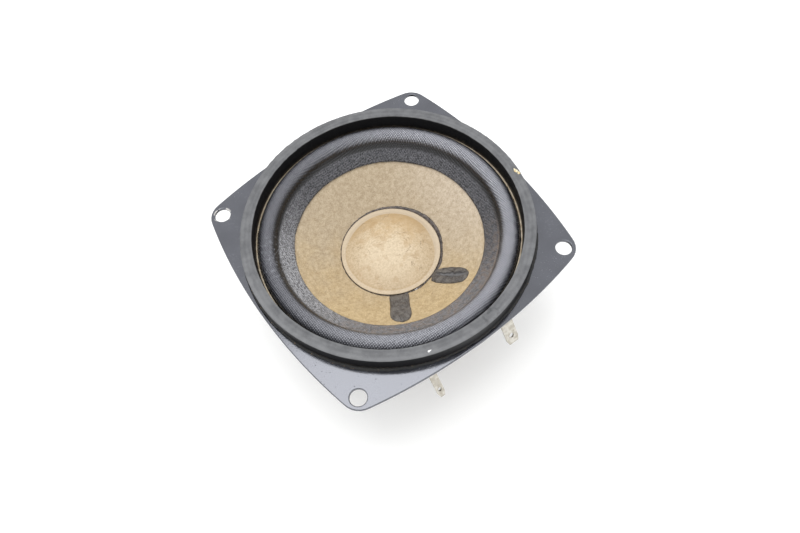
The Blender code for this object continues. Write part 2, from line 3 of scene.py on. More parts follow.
import bmesh
import bpy
from mathutils import Matrix, Vector, noise
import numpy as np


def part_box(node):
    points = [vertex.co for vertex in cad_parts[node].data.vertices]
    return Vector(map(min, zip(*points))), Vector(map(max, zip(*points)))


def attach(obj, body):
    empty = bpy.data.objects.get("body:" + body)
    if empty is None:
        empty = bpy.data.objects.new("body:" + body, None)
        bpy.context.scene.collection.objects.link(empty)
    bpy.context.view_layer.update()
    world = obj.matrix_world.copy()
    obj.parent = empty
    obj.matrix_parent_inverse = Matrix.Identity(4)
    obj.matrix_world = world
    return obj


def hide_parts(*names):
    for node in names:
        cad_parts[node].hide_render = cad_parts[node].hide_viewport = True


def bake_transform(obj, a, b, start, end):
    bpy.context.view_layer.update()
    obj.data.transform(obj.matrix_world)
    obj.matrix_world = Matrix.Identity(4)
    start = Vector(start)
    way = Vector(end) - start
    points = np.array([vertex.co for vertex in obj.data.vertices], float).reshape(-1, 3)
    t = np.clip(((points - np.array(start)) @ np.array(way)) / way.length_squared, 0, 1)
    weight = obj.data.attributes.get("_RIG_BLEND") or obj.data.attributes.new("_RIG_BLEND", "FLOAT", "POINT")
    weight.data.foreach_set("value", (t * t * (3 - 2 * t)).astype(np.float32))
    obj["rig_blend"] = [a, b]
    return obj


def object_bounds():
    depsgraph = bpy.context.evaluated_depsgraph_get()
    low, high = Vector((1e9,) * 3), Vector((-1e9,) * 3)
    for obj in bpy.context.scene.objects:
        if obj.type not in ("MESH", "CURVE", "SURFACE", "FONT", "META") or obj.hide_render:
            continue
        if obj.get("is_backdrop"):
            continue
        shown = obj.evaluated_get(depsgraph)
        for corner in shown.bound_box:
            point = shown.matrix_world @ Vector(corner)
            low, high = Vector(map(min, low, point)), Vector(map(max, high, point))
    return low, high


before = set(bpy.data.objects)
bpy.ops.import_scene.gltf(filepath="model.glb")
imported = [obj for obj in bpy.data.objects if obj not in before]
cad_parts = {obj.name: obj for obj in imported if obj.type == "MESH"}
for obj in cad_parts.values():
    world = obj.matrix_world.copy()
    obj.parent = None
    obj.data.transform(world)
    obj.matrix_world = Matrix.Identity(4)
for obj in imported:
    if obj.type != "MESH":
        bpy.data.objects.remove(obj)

cad_low, cad_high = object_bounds()
MM = 0.001


# ---- camera ----
# It looks down on the driver's front from the near left corner, as someone does who picks it up
# from a table, close enough for the perspective to show.

view = bpy.data.cameras.new("camera")
view.lens = 30.17
view.sensor_width = 36.0
view.clip_start = 0.01
camera = bpy.data.objects.new("camera", view)
camera.location = (-0.05834, -0.10265, 0.23351)
camera.rotation_euler = [math.radians(angle) for angle in (28.60, 3.21, -36.72)]
bpy.context.scene.collection.objects.link(camera)
bpy.context.scene.camera = camera


# ---- floor and light ----
# A white tabletop that the magnet stands on, with one large soft lamp overhead and a little behind,
# and an even white room round it.

class Socket:
    """A node's output, which takes part in plain arithmetic by adding Math nodes."""

    def __init__(self, graph, output):
        self.graph = graph
        self.output = output

    def maths(self, operation, *values):
        sockets = dict(enumerate(values))
        return self.graph.node("ShaderNodeMath", {"operation": operation}, sockets)

    def __add__(self, other):
        return self.maths("ADD", self, other)

    def __sub__(self, other):
        return self.maths("SUBTRACT", self, other)

    def __rsub__(self, other):
        return self.maths("SUBTRACT", other, self)

    def __mul__(self, other):
        return self.maths("MULTIPLY", self, other)

    def __truediv__(self, other):
        return self.maths("DIVIDE", self, other)

    def __pow__(self, other):
        return self.maths("POWER", self, other)

    __radd__ = __add__
    __rmul__ = __mul__

    def sine(self):
        return self.maths("SINE", self)

    def cosine(self):
        return self.maths("COSINE", self)

    def also(self, label):
        """Another output of the same node."""
        return Socket(self.graph, self.output.node.outputs[label])

    def step(self, low, high):
        """0 below low and 1 above high, with a smooth change between; high may be the lower one."""
        settings = {"interpolation_type": "SMOOTHSTEP"}
        return self.graph.node("ShaderNodeMapRange", settings, {0: self, 1: low, 2: high})


class Graph:
    """A node tree, and the one method that adds any node to it."""

    def __init__(self, tree):
        self.tree = tree

    def node(self, kind, settings=None, sockets=None, output=0):
        made = self.tree.nodes.new(kind)
        for key, value in (settings or {}).items():
            setattr(made, key, value)
        for key, value in (sockets or {}).items():
            self.feed(made.inputs[key], value)
        return Socket(self, made.outputs[output])

    def feed(self, target, value):
        if isinstance(value, Socket):
            self.tree.links.new(value.output, target)
        else:
            target.default_value = value


class Finish(Graph):
    """A material: a Principled shader, and what varies over the surface."""

    def __init__(self, name, colour, **fixed):
        self.material = bpy.data.materials.new(name)
        self.material.use_nodes = True
        super().__init__(self.material.node_tree)
        self.shader = self.tree.nodes["Principled BSDF"]
        self.shader.inputs["Base Color"].default_value = (*colour, 1.0)
        for key, value in fixed.items():
            self.shader.inputs[key.replace("_", " ").title()].default_value = value
        self.place = self.node("ShaderNodeTexCoord", output="Object")

    def vary(self, socket, value):
        """Drive one of the shader's inputs."""
        self.feed(self.shader.inputs[socket], value)

    def noise(self, size, detail=3.0, roughness=0.5, stretch=None):
        """Noise with features of about a size in millimetres; stretch is a factor for each axis."""
        place = self.stretched(stretch) if stretch else self.place
        sockets = {"Vector": place, "Scale": 1 / (size * MM), "Detail": detail, "Roughness": roughness}
        return self.node("ShaderNodeTexNoise", None, sockets)

    def cells(self, size):
        """Distance to the nearest of many scattered points, about a size in millimetres apart."""
        sockets = {"Vector": self.place, "Scale": 1 / (size * MM)}
        return self.node("ShaderNodeTexVoronoi", None, sockets)

    def stretched(self, factors):
        """The object's coordinates with a factor for each axis."""
        return self.node("ShaderNodeMapping", None, {"Vector": self.place, "Scale": factors})

    def axis(self, name):
        """One of the object's coordinates, in millimetres."""
        return self.node("ShaderNodeSeparateXYZ", None, {0: self.place}, name) * (1 / MM)

    def radius(self):
        """Distance from the driver's axis, in millimetres."""
        return (self.axis("X") ** 2 + self.axis("Y") ** 2) ** 0.5

    def near(self, x, y, reach, soft=0.5):
        """1 within a reach of an upright line through (x, y), in millimetres, and 0 well outside it."""
        away = ((self.axis("X") - x) ** 2 + (self.axis("Y") - y) ** 2) ** 0.5
        return away.step(reach * (1 + soft), reach * (1 - soft))

    def mix(self, first, second, share):
        """The first colour where the share is 0, and the second where it is 1."""
        first = (*first, 1.0) if isinstance(first, tuple) else first
        second = (*second, 1.0) if isinstance(second, tuple) else second
        return self.node("ShaderNodeMix", {"data_type": "RGBA"}, {0: share, 6: first, 7: second}, 2)

    def relief(self, height, strength=1.0):
        """Bumps from a height in millimetres."""
        sockets = {"Height": height * MM, "Strength": strength, "Distance": 1.0}
        self.vary("Normal", self.node("ShaderNodeBump", None, sockets))


FLOOR_REACH = 1.5
tabletop = bmesh.new()
bmesh.ops.create_grid(tabletop, x_segments=1, y_segments=1, size=FLOOR_REACH)
floor_mesh = bpy.data.meshes.new("floor")
tabletop.to_mesh(floor_mesh)
tabletop.free()
floor_mesh.transform(Matrix.Translation((0, 0, -0.0002)))     # clear of the back plate's face
floor = bpy.data.objects.new("floor", floor_mesh)
bpy.context.scene.collection.objects.link(floor)
white_table = Finish("white_table", (0.86, 0.86, 0.85), roughness=0.7)
white_table.shader.inputs["Emission Color"].default_value = (1.0, 1.0, 0.985, 1.0)
white_table.shader.inputs["Emission Strength"].default_value = 0.17
floor.data.materials.append(white_table.material)
floor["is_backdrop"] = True

ROOM_GLOW = 1.14
room = bpy.data.worlds.new("room")
room.use_nodes = True
walls = room.node_tree.nodes["Background"]
walls.inputs["Color"].default_value = (0.985, 0.99, 1.0, 1.0)
walls.inputs["Strength"].default_value = ROOM_GLOW
bpy.context.scene.world = room

LAMP_SIDE = 0.5
LAMP_GLOW = 3.15
lamp = bpy.data.lights.new("soft_lamp", "AREA")
lamp.shape = "SQUARE"
lamp.size = LAMP_SIDE
lamp.energy = LAMP_GLOW * math.pi * LAMP_SIDE ** 2
lamp_place = bpy.data.objects.new("soft_lamp", lamp)
lamp_place.location = (-0.02, 0.12, 0.84)
bpy.context.scene.collection.objects.link(lamp_place)
bpy.context.scene.view_settings.view_transform = "Standard"


# ---- basket ----
# The driver's frame, pressed from 1 mm steel sheet: a square flange with bowed sides, a recessed
# seat, an upright wall, four arms and a cup. The windows and holes are punched, then it is painted.

def linked(name, shape):
    """A new piece with its object at the origin."""
    piece = bpy.data.objects.new(name, shape)
    bpy.context.scene.collection.objects.link(piece)
    return piece


def rounded(points, count=4):
    """A profile whose corners are arcs: a point is (radius, height) or (radius, height, fillet)."""
    line = []
    for i, point in enumerate(points):
        corner = Vector(point[:2])
        if len(point) == 2:
            line.append(tuple(corner))
            continue
        fillet = point[2]
        before = (Vector(points[i - 1][:2]) - corner).normalized()
        after = (Vector(points[(i + 1) % len(points)][:2]) - corner).normalized()
        half = before.angle(after) / 2
        centre = corner + (before + after).normalized() * fillet / math.sin(half)
        start = corner + before * fillet / math.tan(half) - centre
        end = corner + after * fillet / math.tan(half) - centre
        for step in range(count + 1):
            line.append(tuple(centre + start.slerp(end, step / count).normalized() * fillet))
    return line


def behind(front, thickness):
    """The line a thickness behind a sheet's front line, which runs from the inside out."""
    back = []
    for i, (radius, height) in enumerate(front):
        after = front[min(i + 1, len(front) - 1)]
        before = front[max(i - 1, 0)]
        run = (Vector(after) - Vector(before)).normalized()
        back.append((radius + run.y * thickness, height - run.x * thickness))
    return back


def closed(name, skin, rows):
    """Make a piece of rings of points, each joined to the next; a ring may be a single point."""
    steps = max(len(row) for row in rows)
    for row, below in zip(rows, rows[1:]):
        for step in range(steps):
            following = (step + 1) % steps
            corners = (
                row[step % len(row)], row[following % len(row)],
                below[following % len(below)], below[step % len(below)],
            )
            corners = list(dict.fromkeys(corners))
            if len(corners) > 2:
                skin.faces.new(corners)
    bmesh.ops.recalc_face_normals(skin, faces=skin.faces)
    mesh = bpy.data.meshes.new(name)
    skin.to_mesh(mesh)
    skin.free()
    mesh.shade_smooth()
    return linked(name, mesh)


def lathe(name, loop, steps, reach=None):
    """A closed skin turned about the axis from a loop of (radius, height) points in millimetres.

    reach gives the place of a point at an angle, where the piece isn't quite round. A point whose
    first number is 0 is on the axis.
    """
    reach = reach or (lambda point, angle: point)
    skin = bmesh.new()
    rows = []
    for point in loop:
        row = []
        for step in range(1 if point[0] == 0 else steps):
            angle = 2 * math.pi * step / steps
            radius, height = reach(point, angle)[:2]
            row.append(skin.verts.new((
                radius * math.cos(angle) * MM, radius * math.sin(angle) * MM, height * MM,
            )))
        rows.append(row)
    return closed(name, skin, rows + rows[:1])


def applied(piece):
    """Put a piece's modifiers into its mesh."""
    seen = piece.evaluated_get(bpy.context.evaluated_depsgraph_get())
    mesh = bpy.data.meshes.new_from_object(seen)
    piece.modifiers.clear()
    piece.data = mesh
    return piece


def settled(piece):
    """Shade a piece so that its flat faces stay flat between rounded edges."""
    piece.data.set_sharp_from_angle(angle=math.radians(40))
    weighted = piece.modifiers.new("flat_faces", "WEIGHTED_NORMAL")
    weighted.keep_sharp = True
    return applied(piece)


def cut(piece, cutters):
    """Cut other closed skins out of a piece, and remove them."""
    for number, cutter in enumerate(cutters):
        step = piece.modifiers.new(f"cut_{number}", "BOOLEAN")
        step.operation = "DIFFERENCE"
        step.solver = "EXACT"
        step.object = cutter
    applied(piece)
    for cutter in cutters:
        bpy.data.objects.remove(cutter, do_unlink=True)


def moved(piece, place):
    """Put a piece's mesh where a matrix in millimetres says, and leave its object at the origin."""
    scaled = Matrix.Translation(place.to_translation() * MM) @ place.to_3x3().to_4x4()
    piece.data.transform(scaled)
    return piece


def extent(node):
    """The lowest and the highest corner of a solid, in millimetres."""
    return [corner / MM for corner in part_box(node)]


def dressed(piece, slot, finish, *nodes):
    """Give a piece its finish and hide the solids it stands for."""
    piece.data.materials.clear()
    piece.data.materials.append(finish.material)
    if nodes:
        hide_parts(*nodes)


def done(piece, body, slot, finish, *nodes):
    """Dress a piece that moves with one body."""
    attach(piece, body)
    dressed(piece, slot, finish, *nodes)


SHEET = 1.0
flange_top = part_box("basket")[1].z / MM
half_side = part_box("basket")[1].x / MM
cup_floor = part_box("basket")[0].z / MM + SHEET
SIDE_RADIUS = 190.0
CORNER_RADIUS = 6.5
HOLE_REACH = 115.0 / math.sqrt(8)     # the holes' X and Y
HOLE_RADIUS = 2.65
SEAT_RADIUS = 48.5
SEAT_TOP = flange_top - 1.65
WALL_RADIUS = 43.4
WALL_FOOT = 32.8
ARM_SLOPE = math.radians(34)
ARM_HALF_ANGLE = math.radians(11)
SHELF_TOP = 24.0
CUP_RADIUS = 24.0
CUP_HOLE_RADIUS = 15.5
EDGE = 0.32                           # rounding of the flange's edges


def flange_reach(angle):
    """Distance from the axis to the flange's edge: a shallow side arc, or the arc of a corner."""
    turn = (angle + math.pi / 4) % (math.pi / 2) - math.pi / 4
    rise = SIDE_RADIUS - half_side
    reach = SIDE_RADIUS - CORNER_RADIUS
    corner = (math.sqrt(2 * reach ** 2 - rise ** 2) - rise) / 2
    lean = math.atan2(corner, corner + rise)
    meeting = math.atan2(SIDE_RADIUS * math.sin(lean), SIDE_RADIUS * math.cos(lean) - rise)
    if abs(turn) < meeting:
        across = rise * math.sin(turn)
        return math.sqrt(SIDE_RADIUS ** 2 - across ** 2) - rise * math.cos(turn)
    away = corner * math.sqrt(2)
    off = math.pi / 4 - abs(turn)
    return away * math.cos(off) + math.sqrt(CORNER_RADIUS ** 2 - (away * math.sin(off)) ** 2)


def basket_reach(point, angle):
    """The flange's points move out to its edge, and the others stay round."""
    radius, height, share = point
    return radius + share * (flange_reach(angle) - half_side), height


wall_inside = WALL_RADIUS - SHEET
slope_rise = math.tan(ARM_SLOPE)
shelf_edge = WALL_RADIUS - (WALL_FOOT + SHEET / math.cos(ARM_SLOPE) - SHELF_TOP) / slope_rise
wall_turn = SHELF_TOP + (wall_inside - shelf_edge) * slope_rise
front_line = rounded([
    (CUP_HOLE_RADIUS, cup_floor),
    (CUP_RADIUS, cup_floor, 0.9),
    (CUP_RADIUS, SHELF_TOP, 0.7),
    (shelf_edge, SHELF_TOP, 1.0),
    (wall_inside, wall_turn, 2.0),
    (wall_inside, SEAT_TOP, 0.9),
    (SEAT_RADIUS, SEAT_TOP, 0.25),
    (SEAT_RADIUS, flange_top, EDGE),
    (SEAT_RADIUS + 0.45, flange_top),
])
edge_line = rounded([
    (half_side - 0.45, flange_top),
    (half_side, flange_top, EDGE),
    (half_side, flange_top - SHEET, EDGE),
    (half_side - 0.4, flange_top - SHEET),
])
back_line = rounded([
    (SEAT_RADIUS + 0.72, flange_top - SHEET),
    (SEAT_RADIUS + 0.7, SEAT_TOP - SHEET, 0.6),
    (WALL_RADIUS, SEAT_TOP - SHEET, 0.5),
    (WALL_RADIUS, WALL_FOOT, 3.0),
    (shelf_edge + 0.3, SHELF_TOP - SHEET, 1.4),
    (CUP_RADIUS + SHEET, SHELF_TOP - SHEET, 0.3),
    (CUP_RADIUS + SHEET, cup_floor - SHEET, 1.6),
    (CUP_HOLE_RADIUS, cup_floor - SHEET),
])
basket_loop = [(*point, 0) for point in front_line]
basket_loop += [(*point, 1) for point in edge_line]
basket_loop += [(*point, 0) for point in back_line]
basket = lathe("pressed_basket", basket_loop, 288, basket_reach)

punches = []
for number in range(4):
    quarter = math.pi / 2 * number
    flare = rounded([
        (0, flange_top + 1),
        (HOLE_RADIUS + 1, flange_top + 1),
        (HOLE_RADIUS + 1, flange_top - 0.02),
        (HOLE_RADIUS, flange_top - 0.02, 0.3),
        (HOLE_RADIUS, flange_top - 2),
        (0, flange_top - 2),
    ], 5)
    hole = lathe(f"hole_punch_{number}", flare, 48)
    place = Matrix.Rotation(quarter, 4, "Z") @ Matrix.Translation((HOLE_REACH, HOLE_REACH, 0))
    punches.append(moved(hole, place))

WINDOW_RADII = (31.0, 41.3)
WINDOW_CORNER = 1.6
WINDOW_FACETS = 22
PUNCH_FOOT = 18.0
PUNCH_HEIGHT = 21.5
for number in range(4):
    first = math.pi / 2 * number + ARM_HALF_ANGLE
    sweep = math.pi / 2 - 2 * ARM_HALF_ANGLE
    ways = [first + sweep * step / WINDOW_FACETS for step in range(WINDOW_FACETS + 1)]
    inner, outer = WINDOW_RADII
    outline = [(outer * math.cos(way), outer * math.sin(way)) for way in ways]
    outline += [(inner * math.cos(way), inner * math.sin(way)) for way in reversed(ways)]
    punch = bmesh.new()
    lid = punch.faces.new([punch.verts.new((x * MM, y * MM, PUNCH_FOOT * MM)) for x, y in outline])
    pushed = bmesh.ops.extrude_face_region(punch, geom=[lid])["geom"]
    raised = [item for item in pushed if isinstance(item, bmesh.types.BMVert)]
    bmesh.ops.translate(punch, verts=raised, vec=(0, 0, PUNCH_HEIGHT * MM))
    bmesh.ops.recalc_face_normals(punch, faces=punch.faces)
    upright = [edge for edge in punch.edges if abs(edge.verts[0].co.z - edge.verts[1].co.z) > 0.01]
    corners = [edge for edge in upright if edge.calc_face_angle() > 1]
    bmesh.ops.bevel(punch, geom=corners, offset=WINDOW_CORNER * MM, segments=6, profile=0.5, affect="EDGES")
    punch_mesh = bpy.data.meshes.new(f"window_punch_{number}")
    punch.to_mesh(punch_mesh)
    punch.free()
    punches.append(linked(f"window_punch_{number}", punch_mesh))
cut(basket, punches)
settled(basket)

paint = Finish("satin_black_paint", (0.014, 0.015, 0.02), roughness=0.2)
paint.shader.inputs["IOR"].default_value = 2.15
paint.shader.inputs["Specular Tint"].default_value = (0.9, 0.92, 1.0, 1.0)
mottle = paint.noise(9.0, 4)
peel = paint.noise(0.7, 2)
specks = paint.cells(1.1).step(0.16, 0.05) * paint.noise(2.3).step(0.56, 0.66)
dust = paint.noise(0.35, 2).step(0.63, 0.74) * mottle.step(0.35, 0.6)
front_face = paint.axis("Z").step(flange_top - 0.6, flange_top - 0.4)
round_one_hole = paint.near(-HOLE_REACH, HOLE_REACH, HOLE_RADIUS + 0.35, 0.12)
bare = round_one_hole * paint.noise(2.4, 2).step(0.5, 0.56) * front_face
coat = paint.mix((0.014, 0.015, 0.02), (0.031, 0.033, 0.041), mottle.step(0.3, 0.7))
coat = paint.mix(coat, (0.2, 0.19, 0.18), dust * 0.3)
coat = paint.mix(coat, (0.62, 0.6, 0.57), bare)
paint.vary("Base Color", coat)
paint.vary("Metallic", bare * 0.8)
paint.vary("Roughness", 0.1 + mottle * 0.1 + dust * 0.3 + bare * 0.2)
paint.relief(peel * 0.008 - specks * 0.05 + mottle * 0.02)
done(basket, "frame", "basket", paint, "basket")


# ---- magnet system ----
# Two turned and zinc plated steel plates with a ferrite ring pressed between them, and a pole
# staked into the back one. The ferrite is sintered and then ground flat on its faces only.

back_low, back_high = extent("back_plate")
magnet_low, magnet_high = extent("magnet")
plate_low, plate_high = extent("top_plate")
pole_low, pole_high = extent("pole_piece")
SPIGOT_RADIUS = 5.7
POLE_BORE = SPIGOT_RADIUS + 0.3
MAGNET_BORE = 16.0
GAP_RADIUS = 13.7

back_plate = settled(lathe("turned_back_plate", rounded([
    (back_high.x, back_high.z, 0.5),
    (back_high.x, back_low.z, 0.7),
    (POLE_BORE + 0.5, back_low.z, 0.15),
    (POLE_BORE, back_low.z + 0.5),
    (POLE_BORE, back_high.z),
], 5), 144))
top_plate = settled(lathe("turned_top_plate", rounded([
    (plate_high.x, plate_high.z, 0.5),
    (plate_high.x, plate_low.z, 0.5),
    (GAP_RADIUS, plate_low.z, 0.1),
    (GAP_RADIUS, plate_high.z, 0.1),
], 5), 144))
pole = settled(lathe("turned_pole", [
    (0, pole_high.z),
    *rounded([
        (pole_high.x - 3, pole_high.z),
        (pole_high.x, pole_high.z, 0.6),
        (pole_high.x, magnet_low.z, 0.2),
        (SPIGOT_RADIUS, magnet_low.z, 0.2),
        (SPIGOT_RADIUS, pole_low.z, 0.3),
        (SPIGOT_RADIUS - 1, pole_low.z),
    ], 5),
    (0, pole_low.z),
], 96))


def chipped(point, angle):
    """Small flakes broken from the ring's edges, and the slight waviness of the sintered side."""
    radius, height = point
    if radius < MAGNET_BORE + 1:
        return point
    around = Vector((math.cos(angle) * 9, math.sin(angle) * 9, height * 0.8))
    flake = max(0.0, noise.noise(around) - 0.33)
    from_edge = min(height - magnet_low.z, magnet_high.z - height)
    at_edge = max(0.0, 1 - from_edge / 1.1)
    return radius - 1.9 * flake * at_edge + 0.015 * noise.noise(around * 2), height


side_rows = [(magnet_high.x, magnet_high.z - 0.9 - 0.5 * i) for i in range(13)]
magnet = settled(lathe("ferrite_ring", rounded([
    (magnet_high.x - 0.7, magnet_high.z),
    (magnet_high.x - 0.12, magnet_high.z - 0.35, 0.2),
    *side_rows,
    (magnet_high.x - 0.12, magnet_low.z + 0.35, 0.2),
    (magnet_high.x - 0.7, magnet_low.z),
    (MAGNET_BORE, magnet_low.z, 0.2),
    (MAGNET_BORE, magnet_high.z, 0.2),
]), 360, chipped))

zinc = Finish("yellow_zinc", (0.6, 0.55, 0.42), metallic=1.0, roughness=0.34)
stain = zinc.noise(7.0, 4)
turning = (zinc.radius() * 26 + zinc.noise(4.0) * 2).sine()
iris = zinc.noise(3.2, 3).step(0.45, 0.7)
plating = zinc.mix((0.43, 0.4, 0.31), (0.32, 0.31, 0.28), stain.step(0.35, 0.65))
plating = zinc.mix(plating, (0.4, 0.32, 0.24), iris * 0.4)
zinc.vary("Base Color", plating)
zinc.vary("Roughness", 0.28 + stain * 0.2)
zinc.relief(turning * 0.0016 + zinc.noise(0.3) * 0.004)
done(back_plate, "frame", "back_plate", zinc, "back_plate")
done(top_plate, "frame", "top_plate", zinc, "top_plate")

steel = Finish("turned_steel", (0.47, 0.45, 0.42), metallic=1.0, roughness=0.36)
grime = steel.noise(5.0, 4)
steel.vary("Base Color", steel.mix((0.5, 0.48, 0.45), (0.36, 0.32, 0.27), grime.step(0.4, 0.7)))
steel.vary("Roughness", 0.3 + grime * 0.2)
steel.relief((steel.radius() * 30).sine() * 0.0015)
done(pole, "frame", "pole_piece", steel, "pole_piece")

ferrite = Finish("sintered_ferrite", (0.05, 0.05, 0.053), roughness=0.55)
grain = ferrite.noise(0.22, 3)
smear = ferrite.noise(1.8, 6, 0.65)
worn = ferrite.cells(0.9).step(0.25, 0.1)
ferrite.vary("Base Color", ferrite.mix((0.034, 0.034, 0.037), (0.07, 0.069, 0.071), smear.step(0.35, 0.7)))
ferrite.vary("Roughness", 0.42 + grain * 0.3)
ferrite.relief(grain * 0.03 - worn * 0.02)
done(magnet, "frame", "magnet", ferrite, "magnet")


# ---- rivets ----
# Round headed rivets with nickel plate: four hold the cup to the top plate, two hold the terminal
# board to its arm, and one holds each terminal to the board. They are set by a punch.

class Recipe(Graph):
    """A Geometry Nodes tree with named inputs."""

    def __init__(self, name, inputs):
        super().__init__(bpy.data.node_groups.new(name, "GeometryNodeTree"))
        faces = self.tree.interface
        faces.new_socket("Geometry", in_out="INPUT", socket_type="NodeSocketGeometry")
        for label, kind in inputs.items():
            faces.new_socket(label, in_out="INPUT", socket_type=f"NodeSocket{kind}")
        faces.new_socket("Finish", in_out="INPUT", socket_type="NodeSocketMaterial")
        faces.new_socket("Geometry", in_out="OUTPUT", socket_type="NodeSocketGeometry")
        self.entry = self.tree.nodes.new("NodeGroupInput")

    def given(self, label):
        """One of the tree's inputs."""
        return Socket(self, self.entry.outputs[label])

    def together(self, shapes):
        """Several shapes as one, with smooth shading."""
        junction = self.tree.nodes.new("GeometryNodeJoinGeometry")
        for shape in shapes:
            self.feed(junction.inputs[0], shape)
        sockets = {"Geometry": Socket(self, junction.outputs[0])}
        return self.node("GeometryNodeSetShadeSmooth", None, sockets)

    def end(self, shape):
        """Close the tree with plain geometry that carries its finish."""
        real = self.node("GeometryNodeRealizeInstances", None, {0: shape})
        sockets = {"Geometry": real, "Material": self.given("Finish")}
        finished = self.node("GeometryNodeSetMaterial", None, sockets)
        last = self.tree.nodes.new("NodeGroupOutput")
        self.feed(last.inputs[0], finished)

    def make(self, name, source, finish, values):
        """Run the tree on a mesh and keep the result as a plain piece."""
        maker = linked(name + "_source", source)
        run = maker.modifiers.new("recipe", "NODES")
        run.node_group = self.tree
        values = {**values, "Finish": finish.material}
        for item in self.tree.interface.items_tree:
            if item.in_out == "INPUT" and item.name in values:
                run[item.identifier] = values[item.name]
        seen = maker.evaluated_get(bpy.context.evaluated_depsgraph_get())
        mesh = bpy.data.meshes.new_from_object(seen)
        bpy.data.objects.remove(maker, do_unlink=True)
        return linked(name, mesh)


def spots(name, places):
    """A mesh of one point for each place, a matrix in millimetres, that keeps its Z direction."""
    mesh = bpy.data.meshes.new(name)
    mesh.from_pydata([place.to_translation() * MM for place in places], [], [])
    facing = mesh.attributes.new("facing", "FLOAT_VECTOR", "POINT")
    for item, place in zip(facing.data, places):
        item.vector = place.to_3x3() @ Vector((0, 0, 1))
    return mesh


setting = Recipe("set_in_place", {"Piece": "Object"})
sockets = {"Name": "facing"}
facing = setting.node("GeometryNodeInputNamedAttribute", {"data_type": "FLOAT_VECTOR"}, sockets)
turned_to = setting.node("FunctionNodeAlignRotationToVector", {"axis": "Z"}, {"Vector": facing})
template = setting.node("GeometryNodeObjectInfo", None, {"Object": setting.given("Piece")}, "Geometry")
sockets = {"Points": setting.given("Geometry"), "Instance": template, "Rotation": turned_to}
setting.end(setting.node("GeometryNodeInstanceOnPoints", None, sockets))


def rivets(name, places, bottom, neck, height, finish):
    """Rivets with a domed head above neck, a small set dimple and a shank down to bottom."""
    head = 1.9
    shank = 1.0
    pattern = lathe("rivet_pattern", [
        (0, neck + height * 0.82),
        (0.35, neck + height * 0.86),
        *rounded([
            (0.6, neck + height * 0.98, 0.1),
            (head * 0.72, neck + height * 0.78, 0.5),
            (head, neck + height * 0.3, 0.2),
            (head * 0.97, neck),
            (shank, neck),
            (shank, bottom),
        ], 4),
        (0, bottom),
    ], 28)
    made = setting.make(name, spots(name, places), finish, {"Piece": pattern})
    bpy.data.objects.remove(pattern, do_unlink=True)
    return made


nickel = Finish("nickel_plate", (0.66, 0.64, 0.6), metallic=1.0, roughness=0.3)
scuff = nickel.noise(0.8, 3)
nickel.vary("Base Color", nickel.mix((0.68, 0.66, 0.62), (0.48, 0.45, 0.4), scuff.step(0.45, 0.7)))
nickel.vary("Roughness", 0.22 + scuff * 0.22)
nickel.relief(scuff * 0.01)

RIVET_CIRCLE = 20.5
cup_places = []
for number in range(4):
    turn = Matrix.Rotation(math.pi / 4 + math.pi / 2 * number, 4, "Z")
    cup_places.append(turn @ Matrix.Translation((RIVET_CIRCLE, 0, cup_floor)))
cup_rivets = rivets("cup_rivets", cup_places, plate_low.z + 1 - cup_floor, 0.04, 1.0, nickel)
done(cup_rivets, "frame", "rivet", nickel, *[f"top_plate_rivet_{number}" for number in (1, 2, 3, 4)])


# ---- voice coil ----
# Enamelled copper wire wound in two layers on a kraft paper tube, which is glued into the neck of
# the cone and hangs in the magnet's gap.

former_low, former_high = extent("voice_coil_former")
FORMER_WALL = 0.25
former = settled(lathe("coil_tube", rounded([
    (former_high.x, former_high.z, 0.08),
    (former_high.x, former_low.z, 0.08),
    (former_high.x - FORMER_WALL, former_low.z, 0.08),
    (former_high.x - FORMER_WALL, former_high.z, 0.08),
], 2), 144))
tube_paper = Finish("coil_tube_paper", (0.42, 0.28, 0.15), roughness=0.7)
fibre = tube_paper.noise(0.5, 4, stretch=(1, 1, 4))
tube_paper.vary("Base Color", tube_paper.mix((0.36, 0.23, 0.12), (0.5, 0.35, 0.2), fibre.step(0.3, 0.7)))
tube_paper.relief(fibre * 0.02)
done(former, "moving_assembly", "former", tube_paper, "voice_coil_former")

winding_low, winding_high = extent("voice_coil_winding")
WIRE = 0.2
turns = (winding_high.z - winding_low.z - WIRE) / WIRE
coiling = Recipe("wound_wire", {"Radius": "Float", "Wire": "Float", "Turns": "Float", "Height": "Float"})
layers = []
for layer in (0.5, 1.5):
    layer_radius = coiling.given("Radius") + coiling.given("Wire") * layer
    sockets = {
        "Resolution": 40, "Rotations": coiling.given("Turns"), "Height": coiling.given("Height"),
        "Start Radius": layer_radius, "End Radius": layer_radius,
    }
    helix = coiling.node("GeometryNodeCurveSpiral", None, sockets)
    sockets = {"Resolution": 6, "Radius": coiling.given("Wire") * 0.49}
    wire_round = coiling.node("GeometryNodeCurvePrimitiveCircle", {"mode": "RADIUS"}, sockets)
    sockets = {"Curve": helix, "Profile Curve": wire_round, "Fill Caps": True}
    layers.append(coiling.node("GeometryNodeCurveToMesh", None, sockets))
coiling.end(coiling.together(layers))

copper = Finish("enamelled_copper", (0.72, 0.25, 0.09), metallic=1.0, roughness=0.26)
shade = copper.noise(3.0, 2, stretch=(1, 1, 6))
copper.vary("Base Color", copper.mix((0.74, 0.27, 0.1), (0.5, 0.15, 0.05), shade.step(0.4, 0.7)))
copper.vary("Coat Weight", 0.4 + shade * 0.3)
sizes = {
    "Radius": (winding_high.x - 2 * WIRE) * MM, "Wire": WIRE * MM,
    "Turns": turns, "Height": turns * WIRE * MM,
}
winding = coiling.make("coil_winding", bpy.data.meshes.new("coil_winding"), copper, sizes)
moved(winding, Matrix.Translation((0, 0, winding_low.z + WIRE / 2)))
done(winding, "moving_assembly", "winding", copper, "voice_coil_winding")


